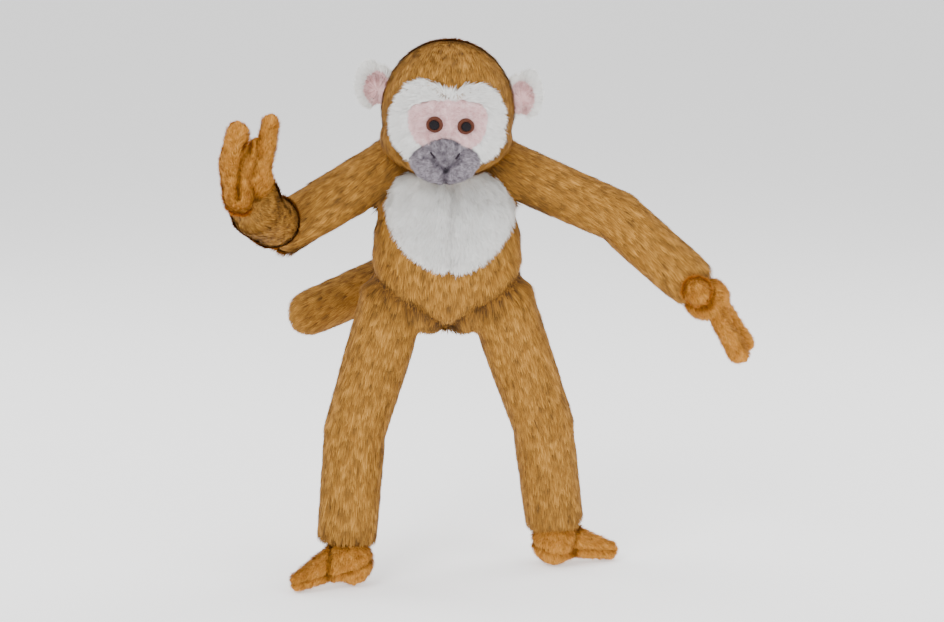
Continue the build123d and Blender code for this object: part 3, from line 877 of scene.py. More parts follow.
PILE_SETTINGS = ("Density", "Width", "Lift", "Stray", "Tuft Size", "Tone Contrast")
PILES = {
    "long_pile": (1350000.0, 0.00095, 0.10, 0.08, 0.0085, 1.7),
    "white_pile": (2600000.0, 0.00070, 0.45, 0.30, 0.006, 1.2),
    "short_pile": (2800000.0, 0.00062, 0.62, 0.42, 0.005, 1.5),
    "velour_pile": (4200000.0, 0.00045, 0.62, 0.42, 0.005, 1.5),
}


def pile(kind, seed, **changes):
    """Settings of one kind of pile, whose length is the size of the same name."""
    values = dict(zip(PILE_SETTINGS, PILES[kind]))
    values |= {"Length": getattr(sizes(), kind), "Rows": 3, "Seed": seed}
    return values | changes


def dress(piece, kind, bodies, settings, nodes=(), ends=(None, None)):
    """Gives a skin its pile, and hangs both on one body, or bends them between two."""
    fur = plant(piece, piece.name + "_pile", kind, settings)
    for made in (piece, fur):
        if isinstance(bodies, str):
            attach(made, bodies)
        else:
            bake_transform(made, bodies[0], bodies[1], start=ends[0], end=ends[1])
    if nodes:
        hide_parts(*nodes)


# ---------------------------------------------------------------- the brown body


def tuple_at(x, y, z):
    return np.array(at(x, y, z))


def outward(side, x, y, z):
    """A place in mm whose x grows towards the outside of one side."""
    return tuple_at(SIDES[side] * x, y, z)


def arm_path(side):
    return [np.array(SHOULDER[side]), np.array(ELBOW[side]), np.array(WRIST[side])]


def leg_path(side):
    return [np.array(HIP[side]), np.array(KNEE[side]), np.array(ANKLE[side])]


def tail_path():
    low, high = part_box("tail_tip_cover")
    tip = np.array([low.x + 0.021, (low.y + high.y) / 2, low.z + 0.021])
    return [np.array(TAIL_ROOT), np.array(TAIL_BEND), tip]


def between(a, b, share):
    return a + (b - a) * share


def torso_stations(rise):
    """Centres and half sizes of the torso from its seat to its neck."""
    rows = [
        (200, 26, 22), (206, 40, 31), (218, 52, 38), (236, 59, 42), (258, 61, 43.5),
        (280, 59, 42), (300, 53.5, 38), (315, 46, 33), (327, 37, 28), (335, 27, 22),
    ]
    shift = rise / MM
    return [(z, wide - shift, deep - shift) for z, wide, deep in rows]


def body_clay(rise):
    """The torso, limbs and tail as lumps, each smaller by the pile's rise."""
    clay = Clay()
    rows = []
    turns = np.linspace(0, 2 * math.pi, 40, endpoint=False)
    for z, wide, deep in torso_stations(rise):
        lean = 8 if z > 240 else 8 + (240 - z) * 0.1
        rows.append([tuple_at(wide * math.cos(t), lean + deep * math.sin(t), z) for t in turns])
    clay.rings(rows, tuple_at(0, 8, 197 + rise / MM), tuple_at(0, 8, 339 - rise / MM))
    for side in SIDES:
        shoulder, elbow, wrist = arm_path(side)
        radius = sizes().arm_radius - rise
        root = between(shoulder, elbow, -0.12)
        upper = between(shoulder, elbow, 0.55)
        lower = between(elbow, wrist, 0.35)
        clay.tube([root, upper, elbow, lower], [radius * 1.04, radius, radius, radius])
        end = between(elbow, wrist, 0.80)
        cuff = between(elbow, wrist, 0.93) + CUFF_CARRY[side]
        clay.tube([lower, end, cuff], [radius, radius * 0.99, radius * 0.95], caps=4, tip=0.4)
        hip, knee, ankle = leg_path(side)
        radius = sizes().leg_radius - rise
        top = between(hip, knee, 0.02)
        clay.tube(
            [top, between(hip, knee, 0.5), knee, between(knee, ankle, 0.5)],
            [radius * 1.10, radius * 1.07, radius * 1.02, radius],
        )
        clay.tube(
            [between(knee, ankle, 0.5), between(knee, ankle, 0.93)], [radius, radius * 0.98],
            caps=4, tip=0.35,
        )
        seat = sizes().seat_fullness - rise
        clay.egg(outward(side, 36, 6, 235), (seat * 0.95, seat * 1.2, seat * 1.5))
    root, bend, tip = tail_path()
    radius = sizes().tail_radius - rise
    clay.tube([between(root, bend, -0.35), root, bend], [radius, radius, radius])
    clay.tube([bend, between(bend, tip, 0.5), tip], [radius, radius, radius * 0.96])
    return clay


def centres(skin):
    found = np.zeros((len(skin.faces), 3))
    for k, face in enumerate(skin.faces):
        found[k] = skin.points[list(face)].mean(0)
    return found


def groin_way(side):
    """The place and direction from which the torso turns into a thigh."""
    return outward(side, 28, 0, 226), np.array([0.58 * SIDES[side], 0, -0.81])


def body_zones(points):
    """The zone of the body that each point belongs to."""
    zone = np.full(len(points), "torso", dtype=object)
    root, bend, tip = tail_path()
    way = unit(bend - root)
    along = (points - root) @ way
    near = distance_to_path(points, [root, bend, tip])
    tail = (along > -0.004) & (near < 0.034)
    zone[tail] = "tail_base"
    zone[tail & (along > 0.007)] = "tail_tip"
    for side, sign in SIDES.items():
        shoulder, elbow, wrist = arm_path(side)
        along = (points - shoulder) @ unit(elbow - shoulder)
        near = distance_to_path(points, [shoulder, elbow, wrist])
        arm = (along > -0.012) & (near < 0.034)
        zone[arm] = "shoulder_" + side
        fore = (points - elbow) @ unit(wrist - shoulder)
        zone[arm & (along > 0.008)] = "upper_" + side
        far = (along > 0.050) | ((distance_to_path(points, [elbow, wrist]) < 0.026) & (fore > 0))
        zone[arm & far] = "lower_" + side
        line, way = groin_way(side)
        along = (points - line) @ way
        near = distance_to_path(points, leg_path(side))
        beyond = (points[:, 0] - MIDDLE.x) * sign > 0.005
        leg = (along > 0) & (near < 0.046) & beyond & (zone == "torso")
        zone[leg] = "thigh_" + side
        hip, knee, _ = leg_path(side)
        down = (points - hip) @ unit(knee - hip)
        zone[leg & (down > 0.060)] = "shin_" + side
    return zone


def comb_body(skin):
    """Pile that falls down the torso and runs out along the limbs."""
    bones = []
    for side in SIDES:
        arm, leg = arm_path(side), leg_path(side)
        bones += list(zip(arm, arm[1:])) + list(zip(leg, leg[1:]))
    tail = tail_path()
    bones += list(zip(tail, tail[1:]))
    bones.append((tuple_at(0, 8, 320), tuple_at(0, 8, 225)))
    ends = along_bones(skin.points, bones) + 0.35 * skin.normals_from(bones)
    skin.lay(ends + np.array([0, 0, -0.2]))


def seam_path(side):
    """The crease between the torso and one thigh, seen from the front."""
    return [outward(side, x, 0, z) for x, z in ((58, 247), (40, 233), (22, 220), (2, 205))]


LIMBS = {
    "shoulder": ("torso", "shoulder_{0}"),
    "upper": ("shoulder_{0}", "upper_arm_{0}"),
    "lower": ("upper_arm_{0}", "forearm_{0}"),
    "thigh": ("torso", "thigh_{0}"),
    "shin": ("thigh_{0}", "shin_{0}"),
}


def round_bend(path, reach):
    """Start and end of a turn at the middle of a path of three places."""
    a, bend, b = path
    way = unit(unit(bend - a) + unit(b - bend))
    return bend - way * reach[0], bend + way * reach[1]


def limb_bend(kind, side):
    """Where a limb's skin starts and ends its turn between two bodies."""
    shoulder, elbow, _ = arm_path(side)
    out = unit(elbow - shoulder)
    if kind == "shoulder":
        return shoulder - out * 0.012, shoulder + out * 0.008
    if kind == "upper":
        return shoulder + out * 0.008, shoulder + out * 0.048
    if kind == "lower":
        return round_bend(arm_path(side), (0.018, 0.018))
    if kind == "thigh":
        line, way = groin_way(side)
        return line, line + way * 0.045
    return round_bend(leg_path(side), (0.022, 0.022))


def cover_of(body):
    return body + "_cover", body + "_stuffing"


def shade_body(skin):
    """Creases the groins with painted shade, and paints shade into the pile at the cuffs, armpits and under
    the chin.
    """
    for side in SIDES:
        front = skin.points[:, 1] < MIDDLE.y + 0.02
        before = skin.points.copy()
        skin.crease(seam_path(side), sizes().crease_depth * 1.6, 0.006, flat=1)
        skin.points = np.where(front[:, None], skin.points, before)
        # painted shade at the wrist and ankle cuffs, where the hands and feet meet the limbs, and in the
        # armpit
        dark = 0.45 * fading(skin.points, arm_path(side)[2], 0.020, 4)
        dark += 0.5 * fading(skin.points, leg_path(side)[2], 0.026, 4)
        dark += fading(skin.points, outward(side, 66, 10, 305), 0.020, 2)
        skin.shade += 0.8 * dark
    # painted shade under the chin
    skin.shade += 0.9 * fading(skin.points, tuple_at(0, 0, 322), 0.045, 4)


def sew_body():
    skin = body_clay(sizes().pile_rise).skin(BODY_VOXEL, 4)
    shade_body(skin)
    comb_body(skin)
    bib = in_outline(skin.points, bib_outline()) & (skin.points[:, 1] < MIDDLE.y + 0.008)
    skin.cover = np.where(bib & (inside_depth(skin.points, bib_outline()) > 0.003), 0.0, 1.0)
    zone = body_zones(centres(skin))
    pieces = [("torso", "torso", cover_of("torso"), (None, None))]
    for side in SIDES:
        for kind, bodies in LIMBS.items():
            pair = [body.format(side) for body in bodies]
            pieces.append((kind + "_" + side, pair, cover_of(pair[1]), limb_bend(kind, side)))
    root, bend, _ = tail_path()
    out = unit(bend - root)
    base_ends = root - out * 0.008, root + out * 0.006
    tip_ends = round_bend(tail_path(), (0.008, 0.014))
    pieces.append(("tail_base", ("torso", "tail_base"), cover_of("tail_base"), base_ends))
    pieces.append(("tail_tip", ("tail_base", "tail_tip"), cover_of("tail_tip"), tip_ends))
    for seed, (name, bodies, nodes, ends) in enumerate(pieces, 1):
        piece = skin.piece(name + "_skin", "brown_cloth", zone == name)
        dress(piece, "brown_pile", bodies, pile("long_pile", seed), nodes, ends)


# ---------------------------------------------------------------- outlines


def smooth_outline(corners, steps=8):
    """A closed smooth curve through corners in the x and z plane."""
    corners = [np.asarray(corner, float) for corner in corners]
    count = len(corners)
    found = []
    for k in range(count):
        a, b, c, d = (corners[(k + j - 1) % count] for j in range(4))
        for t in np.linspace(0, 1, steps, endpoint=False):
            found.append(
                0.5 * (2 * b + (c - a) * t + (2 * a - 5 * b + 4 * c - d) * t * t
                       + (3 * b - a - 3 * c + d) * t ** 3)
            )
    return np.array(found)


def in_outline(points, outline):
    """Which points lie inside an outline, seen from the front."""
    x, z = points[:, 0], points[:, 2]
    inside = np.zeros(len(points), bool)
    for (ax, az), (bx, bz) in zip(outline, np.roll(outline, -1, axis=0)):
        crosses = (az > z) != (bz > z)
        slope = (bx - ax) / (bz - az) if bz != az else 0.0
        inside ^= crosses & (x < ax + slope * (z - az))
    return inside


def inside_depth(points, outline):
    """How far inside an outline each point is, below nought outside it."""
    path = [np.array([x, 0, z]) for x, z in outline]
    gap = distance_to_path(points, path + path[:1], flat=1)
    return np.where(in_outline(points, outline), gap, -gap)


def front_outline(corners):
    """A smooth outline whose corners are in mm in the front view."""
    return smooth_outline([(MIDDLE.x + x * MM, z * MM) for x, z in corners])


def bib_outline():
    return front_outline(
        [(-34, 326), (-43, 312), (-46, 298), (-38, 279), (-20, 262), (3.6, 254),
         (25, 260), (43, 276), (52, 294), (49, 308), (38, 324), (3, 334)]
    )


# ---------------------------------------------------------------- bib, neck and head


def sew_bib():
    """Two white panels that meet at a seam down the chest."""
    skin = body_clay(sizes().pile_rise - 0.0012).skin(BIB_VOXEL, 3)
    seam = [tuple_at(BIB_SEAM, 0, z) for z in (335, 300, 254)]
    middle = seam[0][0]
    skin.crease(seam, sizes().crease_depth, 0.0035, flat=1)
    depth = inside_depth(skin.points, bib_outline())
    skin.push(0.003 * np.clip(depth / 0.006, -0.5, 1))
    skin.lay(np.column_stack([
        (skin.points[:, 0] - middle) * 14, np.full(len(skin.points), -0.1),
        np.full(len(skin.points), -0.8),
    ]))
    places = centres(skin)
    chosen = in_outline(places, bib_outline()) & (places[:, 1] < MIDDLE.y + 0.004)
    for side, sign in SIDES.items():
        mine = chosen & ((places[:, 0] - middle) * sign >= 0)
        piece = skin.piece("bib_" + side + "_skin", "white_cloth", mine)
        settings = pile("white_pile", 30 + sign)
        dress(piece, "white_pile", "torso", settings, ("bib_" + side,))


def sew_neck():
    low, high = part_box("neck_cover")
    middle = (low + high) / 2
    halves = (high - low) / 2 - Vector((0.003, 0.003, 0.003))
    clay = Clay()
    clay.egg(middle, halves)
    skin = clay.skin(NECK_VOXEL, 1)
    # painted shade: the whole neck's pile is darkened, under the head
    skin.shade += 1.0
    skin.lay(np.tile([0, 0, -1.0], (len(skin.points), 1)))
    piece = skin.piece("neck_skin", "brown_cloth")
    dress(piece, "brown_pile", "neck", pile("long_pile", 40, Length=0.007), cover_of("neck"))


def roll_matrix():
    turn = Matrix.Rotation(sizes().head_roll, 3, "Y")
    return np.array(turn)



def mask_outline():
    """The white mask: two lobes over the brow, and its lower tips beside the muzzle."""
    return front_outline(
        [(3.8, 395), (-5, 401), (-15, 404.5), (-28, 400), (-37, 389), (-41.5, 375), (-39, 360),
         (-31, 348), (-22, 343), (0, 342), (24, 343), (32, 346), (40, 354), (43.5, 367),
         (43, 381), (37, 394), (27, 401), (14, 400)]
    )


def brow_outline():
    """The pink patch round the eyes."""
    return front_outline(
        [(3, 389.5), (-14, 389.5), (-25, 386), (-28.5, 376), (-26, 364), (-18, 355), (2, 350),
         (20, 354), (28, 363), (31, 375), (28, 385), (18, 389.5)]
    )


def head_clay(rise):
    clay = Clay()
    turn = roll_matrix()
    halves = (HEAD_HALF - rise, HEAD_HALF * 0.97 - rise, HEAD_TALL - rise)
    clay.egg(HEAD, halves, [turn @ axis for axis in np.eye(3)], 64, 40)
    cheeks = np.array(HEAD) + turn @ np.array([0, -0.004, -0.018])
    clay.egg(cheeks, (HEAD_HALF - rise, HEAD_HALF * 0.90 - rise, HEAD_TALL * 0.62 - rise))
    return clay


def head_comb(skin):
    """Pile that runs down from the crown."""
    crown = np.array(HEAD) + np.array([0.002, 0.034, HEAD_TALL * 0.80])
    down = unit_rows(skin.points - crown)
    down[:, 2] -= 0.35
    return down


def sew_head():
    """Sews the brown head, the white mask and the pink brow, and returns the brow."""
    skin = head_clay(sizes().pile_rise * 0.3).skin(HEAD_VOXEL, 3)
    mask, brow = mask_outline(), brow_outline()
    front = skin.points[:, 1] < HEAD.y
    in_mask = np.where(front, inside_depth(skin.points, mask), -1)
    in_brow = np.where(front, inside_depth(skin.points, brow), -1)
    skin.push(0.0022 * np.clip((in_mask + 0.002) / 0.006, 0, 1))
    skin.push(0.0030 * np.clip((in_brow + 0.001) / 0.005, 0, 1))
    middle = np.array([at(2.5, 0, 0).x, HEAD.y, 0.372])
    spread = skin.points - middle
    spread[:, 1] = 0
    spread = unit_rows(spread)
    spread[:, 2] = spread[:, 2] * 0.55 - 0.35
    edge = (in_mask > -0.005) & (in_mask <= 0)
    skin.cover = np.where(edge, 0.35, 1.0)
    skin.lay(np.where((in_mask > 0)[:, None], spread, head_comb(skin)))
    # painted shade: the brown pile is darkened along the edge of the raised mask
    skin.shade += 0.8 * np.exp(-((in_mask / 0.004) ** 2)) * (in_mask < 0.001)
    places = centres(skin)
    ahead = places[:, 1] < HEAD.y
    white = in_outline(places, mask) & ahead
    pink = in_outline(places, brow) & ahead
    brown = skin.piece("head_skin", "brown_cloth", ~white)
    dress(brown, "brown_pile", "head", pile("long_pile", 50, Length=0.0085), cover_of("head"))
    mask_piece = skin.piece("mask_skin", "white_cloth", white & ~pink)
    settings = pile("white_pile", 51)
    dress(mask_piece, "white_pile", "head", settings, ("face_mask",))
    face = skin.piece("brow_skin", "pink_cloth", pink)
    dress(face, "pink_pile", "head", pile("velour_pile", 52), ("brow_patch",))
    return face



def sew_muzzle():
    """Sews the muzzle with its seams, and returns it."""
    low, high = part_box("muzzle_cover")
    middle, halves = (low + high) / 2, (high - low) / 2
    rise = sizes().short_rise * 0.7
    clay = Clay()
    wide, deep, tall = halves.x - rise, halves.y - rise, halves.z - rise
    profile = (
        (-0.98, 0.30), (-0.90, 0.50), (-0.70, 0.75), (-0.35, 0.93), (0.0, 1.0), (0.30, 0.95),
        (0.50, 0.82), (0.68, 0.70), (0.82, 0.60), (0.92, 0.49), (0.98, 0.30),
    )
    turns = np.linspace(0, 2 * math.pi, 48, endpoint=False)
    rows = []
    for height, share in profile:
        floor = 0.92 if height > 0 else 0.30
        reach = deep * (floor + (1 - floor) * math.sqrt(1 - height * height))
        rows.append([
            np.array(middle)
            + np.array([wide * share * math.cos(t), reach * math.sin(t), tall * height])
            for t in turns
        ])
    pole = np.array([0, 0, tall])
    clay.rings(rows, np.array(middle) - pole, np.array(middle) + pole)
    skin = clay.skin(MUZZLE_VOXEL, 8)
    x, y, z = middle
    join = (x, y, z - tall * 0.20)
    for path in muzzle_seams(x, y, z, wide, tall):
        skin.crease(path, 0.0016, 0.0012, flat=1)
    # painted shade in the seam grooves, kept on the front half only
    skin.shade = np.where(skin.points[:, 1] < y, skin.shade, 0) * 0.9
    away = unit_rows(skin.points - np.array(join))
    away[:, 2] -= 0.3
    skin.lay(away)
    piece = skin.piece("muzzle_skin", "grey_cloth")
    dress(piece, "grey_pile", "head", pile("velour_pile", 60, Length=0.0016), cover_of("muzzle"))
    return piece


def muzzle_seams(x, y, z, wide, tall):
    """Y-shaped seams: two from the nostrils, and one down the lip."""
    knot = (x + 0.0008, y, z - tall * 0.36)
    left = [(x - wide * 0.30, y, z + tall * 0.16), (x - wide * 0.20, y, z - tall * 0.08), knot]
    right = [(x + wide * 0.42, y, z + tall * 0.18), (x + wide * 0.26, y, z - tall * 0.10), knot]
    return [left, right, [knot, (x, y, z - tall)]]


def tree_of(piece):
    mesh = piece.data
    return BVHTree.FromPolygons([v.co for v in mesh.vertices], [p.vertices for p in mesh.polygons])


def front_hit(tree, x, z):
    """Where a line from the front meets a piece, and the normal there."""
    found, normal = tree.ray_cast(Vector((x, -1.0, z)), Vector((0, 1, 0)))[:2]
    if found is None:
        raise RuntimeError(f"nothing is in front of {x:.3f}, {z:.3f}")
    return found, normal


def stitched(node, rows, thread):
    """Satin stitching over a closed pad that takes a node's place, from rings of points."""
    name = node + "_thread"
    count = len(rows[0])
    points = [point for row in rows for point in row]
    faces, marks = [], []
    for step in range(len(rows) - 1):
        for k in range(count):
            a, b = step * count + k, step * count + (k + 1) % count
            faces.append((a, a + count, b + count, b))
            u, v = k / count, step / (len(rows) - 1)
            du, dv = 1 / count, 1 / (len(rows) - 1)
            marks += [(u, v), (u, v + dv), (u + du, v + dv), (u + du, v)]
    for row, flip in ((0, False), (len(rows) - 1, True)):
        ids = [row * count + k for k in range(count)]
        middle = len(points)
        total = Vector((0, 0, 0))
        for k in ids:
            total += Vector(points[k])
        points.append(tuple(total / count))
        for k in range(count):
            a, b = ids[k], ids[(k + 1) % count]
            faces.append((b, a, middle) if flip else (a, b, middle))
            marks += [(k / count, 0), (k / count, 0), (k / count, 0)]
    mesh = bpy.data.meshes.new(name)
    mesh.from_pydata([tuple(p) for p in points], [], faces)
    chart = mesh.uv_layers.new(name="Stitch")
    for k, mark in enumerate(marks):
        chart.data[k].uv = mark
    mesh.shade_smooth()
    mesh.materials.append(material(thread))
    made = bpy.data.objects.new(name, mesh)
    bpy.context.scene.collection.objects.link(made)
    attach(made, "head")
    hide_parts(node)


def disc_rows(tree, x, z, profile, count=64):
    """Rings round a place on a piece: each has a radius and a height off it."""
    rows = []
    for radius, lift in profile:
        row = []
        for k in range(count):
            turn = 2 * math.pi * k / count
            spot, normal = front_hit(tree, x + radius * math.cos(turn), z + radius * math.sin(turn))
            row.append(spot + normal.normalized() * lift)
        rows.append(row)
    return rows


def sew_eyes(face):
    tree = tree_of(face)
    for side in SIDES:
        spot = box_middle("eye_ring_" + side) + EYE_SHIFT
        outer, inner = sizes().eye_radius, sizes().pupil_radius
        ring = [(inner * 0.9, 0.0004), (inner * 0.98, 0.0026), (inner * 1.25, 0.0033),
                (outer * 0.85, 0.0031), (outer * 0.97, 0.0024), (outer, -0.0003)]
        rows = disc_rows(tree, spot.x, spot.z, ring)
        stitched("eye_ring_" + side, rows, "ring")
        pupil = [(inner * 0.2, 0.0044), (inner * 0.6, 0.0042), (inner * 0.9, 0.0036),
                 (inner, 0.0026), (inner * 0.95, -0.0002)]
        rows = disc_rows(tree, spot.x, spot.z, pupil)
        stitched("eye_pupil_" + side, rows, "pupil")


def sew_nostrils(muzzle):
    tree = tree_of(muzzle)
    for side, sign in SIDES.items():
        spot = box_middle("nostril_" + side)
        rows = []
        for share, lift in ((0.35, 0.0016), (0.8, 0.0013), (1.0, -0.0004)):
            row = []
            for k in range(32):
                turn = 2 * math.pi * k / 32
                x = 0.0021 * share * math.cos(turn)
                z = 0.0012 * share * math.sin(turn) + sign * x * 1.1
                place, normal = front_hit(tree, spot.x + x, spot.z + z)
                row.append(place + normal.normalized() * lift)
            rows.append(row)
        stitched("nostril_" + side, rows, "mouth")


def sew_ears():
    for side, sign in SIDES.items():
        low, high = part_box("ear_back_" + side)
        middle = np.array((low + high) / 2)
        wide, tall = (high.x - low.x) / 2, (high.z - low.z) / 2
        deep = (high.y - low.y) / 2
        thick = max(deep - EAR_INSET, EAR_THIN)
        back = Clay()
        back.egg(middle, (wide - EAR_INSET, thick, tall - EAR_INSET))
        root = middle + np.array([-sign * wide * 0.75, 0.0, -tall * 0.10])
        back.egg(root, (wide * 0.55, thick, tall * 0.72))
        skin = back.skin(EAR_VOXEL, 4)
        scoop = np.array([middle[0] - sign * wide * 0.38, middle[1], middle[2] - tall * 0.16])
        inner_wide, inner_tall = wide * 0.78, tall * 0.66
        dx = (skin.points[:, 0] - scoop[0]) / inner_wide
        dz = (skin.points[:, 2] - scoop[2]) / inner_tall
        hollow = np.clip(1 - dx * dx - dz * dz, 0, 1)
        front = skin.normals()[:, 1] < 0
        skin.points[:, 1] += np.where(front, 0.0026 * hollow, 0)
        away = skin.points - root
        away[:, 1] = 0.004
        skin.lay(unit_rows(away))
        places = centres(skin)
        inside = ((places[:, 0] - scoop[0]) / inner_wide) ** 2
        inside += ((places[:, 2] - scoop[2]) / inner_tall) ** 2
        pocket = (inside < 1.0) & (places[:, 1] < middle[1] + 0.002)
        shell = skin.piece("ear_back_" + side + "_skin", "white_cloth", ~pocket, (0, 0.0048, 0))
        settings = pile("white_pile", 70, Length=0.0050)
        dress(shell, "white_pile", "ear_" + side, settings, ("ear_back_" + side,))
        lining = skin.piece("ear_lining_" + side + "_skin", "pink_cloth", pocket)
        settings = pile("velour_pile", 72)
        dress(lining, "pink_pile", "ear_" + side, settings, ("ear_lining_" + side,))


# ---------------------------------------------------------------- hands and feet


HANDS = {
    "right": {
        "tubes": (
            (((-157, -97, 368), 9.6), ((-161, -97, 346), 11.5), ((-156.5, -94, 318), 13.0)),
            (((-145, -88, 355), 8.5), ((-149, -88, 336), 11.0), ((-153, -88, 320), 12.0)),
            (((-133.5, -84, 374), 7.8), ((-136, -84, 357), 7.8), ((-142, -84, 338), 9.0)),
        ),
        "eggs": (((-151, -86, 331), (20.5, 13.0, 23.0)),),
        "creases": (
            (((-150, 0, 358), (-152, 0, 346), (-154.5, 0, 334), (-157, 0, 318)), 5.0, 2.6),
            (((-142, 0, 362), (-142.5, 0, 346), (-146, 0, 334)), 2.4, 1.8),
        ),
    },
    "left": {
        "tubes": (
            (((213, -9, 220), 9.6), ((222, -11, 203), 9.2), ((232.5, -10, 185), 10.2)),
            (((220, 4, 218), 8.0), ((230, 5, 204), 7.2), ((239, 3, 190), 7.6)),
            (((201, -8, 232), 12.5), ((207, -8, 222), 12.0)),
        ),
        "eggs": (
            ((197.5, -23, 235.5), (12.6, 11.5, 12.6)),
            ((207, -3, 226), (19.5, 14.0, 18.0)),
        ),
        "creases": (
            (((219, 0, 219), (230, 0, 202), (240, 0, 186)), 2.4, 1.8),
            (((186, 0, 228), (197, 0, 221.5), (208, 0, 225), (211, 0, 236)), 2.2, 1.8),
        ),
    },
}

FEET = {
    "right": {
        "tubes": (
            (((-84, -40, 21), 17.0), ((-99, -50, 16.5), 12.5), ((-116.5, -60, 9.4), 8.4)),
            (((-80, -32, 34), 15.0), ((-80, -33, 22), 17.5)),
        ),
        "eggs": (((-75.5, -38, 20.0), (17.5, 19.0, 19.2)),),
        "creases": (
            (((-92, 0, 33), (-92, 0, 22), (-92.5, 0, 8)), 2.6, 2.0),
            (((-93, 0, 14.5), (-106, 0, 12), (-122, 0, 8.5)), 2.2, 1.5),
            (((-91, 0, 12), (-74, 0, 16.5), (-58, 0, 23)), 1.8, 1.5),
        ),
    },
    "left": {
        "tubes": (
            (((95, 26, 21), 17.0), ((112, 31, 15.5), 12.0), ((132, 35, 9.6), 8.4)),
            (((88, 32, 34), 15.0), ((88, 30, 22), 17.5)),
        ),
        "eggs": (((87.5, 23, 20.0), (19.5, 19.0, 19.2)),),
        "creases": (
            (((106, 0, 30), (104, 0, 20), (104, 0, 8)), 2.4, 2.0),
            (((103, 0, 15.5), (118, 0, 13), (141, 0, 10)), 2.2, 1.5),
            (((68, 0, 20), (86, 0, 14), (104, 0, 12)), 1.8, 1.5),
        ),
    },
}


def lumps(plan):
    """Clay for a hand or foot: its fingers and pads, in mm."""
    clay = Clay()
    inset = sizes().short_rise
    for tube in plan["tubes"]:
        places = [tuple_at(*place) for place, radius in tube]
        clay.tube(places, [radius * MM - inset for place, radius in tube])
    for middle, halves in plan["eggs"]:
        clay.egg(tuple_at(*middle), [half * MM - inset for half in halves])
    skin = clay.skin(PAW_VOXEL, 6)
    depth = skin.points[:, 1]
    ahead = depth < depth.mean() + 0.004
    # each crease presses a groove with painted shade along it, on the front only
    for path, deep, wide in plan["creases"]:
        before, shade = skin.points.copy(), skin.shade.copy()
        skin.crease([tuple_at(*place) for place in path], deep * MM, wide * MM, flat=1)
        skin.points = np.where(ahead[:, None], skin.points, before)
        skin.shade = np.where(ahead, skin.shade, shade)
    skin.points[:, 2] = np.maximum(skin.points[:, 2], CAD_BOX[0].z + inset)
    return skin


def sew_paw(kind, side, plan, parts, limb, root, out, reach):
    """Sews a hand or foot that bends on its limb round a root, in a direction."""
    skin = lumps(plan)
    skin.lay(unit_rows(skin.points - root) + out)
    # painted shade where the hand or foot meets its cuff
    skin.shade += 0.7 * fading(skin.points, root, 0.016, 2)
    body = kind + "_" + side
    piece = skin.piece(body + "_skin", "tan_cloth")
    settings = pile("short_pile", 80 + len(kind) + SIDES[side])
    nodes = [body + "_" + part for part in parts]
    ends = root + out * reach[0], root + out * reach[1]
    dress(piece, "tan_pile", (limb + "_" + side, body), settings, nodes, ends)


def sew_hands():
    for side in SIDES:
        wrist = arm_path(side)[2]
        fingers = HANDS[side]["tubes"]
        tips = [tube[0][0] for tube in fingers]
        if side == "left":
            tips = [tube[-1][0] for tube in fingers[:2]]
        out = unit(np.mean([tuple_at(*tip) for tip in tips], axis=0) - wrist)
        parts = ("palm", "back", "stuffing")
        sew_paw("hand", side, HANDS[side], parts, "forearm", wrist, out, (-0.006, 0.012))


def sew_feet():
    down = np.array([0, 0, -1.0])
    for side in SIDES:
        ankle = leg_path(side)[2]
        parts = ("upper", "sole", "stuffing")
        sew_paw("foot", side, FEET[side], parts, "shin", ankle, down, (-0.008, 0.006))


# ---------------------------------------------------------------- stage


def set_stage():
    """A wide pale floor, soft lamps, a white world and the camera."""
    scene = bpy.context.scene
    low, high = CAD_BOX
    floor = bpy.data.meshes.new("floor")
    reach = 25.0
    ground = low.z - 0.0002
    corners = [(-reach, -reach), (reach, -reach), (reach, reach), (-reach, reach)]
    floor.from_pydata([(x, y, ground) for x, y in corners], [], [(0, 1, 2, 3)])
    card, _, shader = blank_material("Floor")
    shader.inputs["Base Color"].default_value = (0.93, 0.93, 0.93, 1)
    shader.inputs["Roughness"].default_value = 0.9
    shader.inputs["Emission Color"].default_value = (1, 1, 1, 1)
    shader.inputs["Emission Strength"].default_value = 0.7
    floor.materials.append(card)
    ground_card = bpy.data.objects.new("floor", floor)
    scene.collection.objects.link(ground_card)
    aim = Vector((low.x + high.x, 0.002, low.z + high.z)) / 2
    lamps = (
        ("key", (-0.9, -1.6, 1.7), 1.1, 36.0),
        ("fill", (1.5, -1.4, 0.9), 1.4, 18.0),
        ("top", (0.1, 0.3, 1.9), 1.3, 18.0),
        ("rim left", (-1.3, 0.7, 0.9), 0.8, 9.0),
        ("rim right", (1.3, 0.7, 0.9), 0.8, 9.0),
    )
    for name, place, size, power in lamps:
        lamp = bpy.data.lights.new(name, "AREA")
        lamp.size = size
        lamp.energy = power
        lit = bpy.data.objects.new(name, lamp)
        lit.location = place
        lit.rotation_euler = (aim - Vector(place)).to_track_quat("-Z", "Y").to_euler()
        scene.collection.objects.link(lit)
    world = bpy.data.worlds.new("studio")
    world.use_nodes = True
    world.node_tree.nodes["Background"].inputs[0].default_value = (1, 1, 1, 1)
    world.node_tree.nodes["Background"].inputs[1].default_value = 0.70
    scene.world = world
    camera = bpy.data.cameras.new("camera")
    camera.sensor_width = 36
    camera.lens = CAMERA_LENS
    camera.clip_start = 0.05
    camera.clip_end = 30
    seen = bpy.data.objects.new("camera", camera)
    target = at(*CAMERA_AIM)
    way = Vector((0, -math.cos(CAMERA_TILT), math.sin(CAMERA_TILT)))
    seen.location = target + way * CAMERA_FAR
    seen.rotation_euler = (target - seen.location).to_track_quat("-Z", "Y").to_euler()
    scene.collection.objects.link(seen)
    scene.camera = seen


# ---------------------------------------------------------------- operators


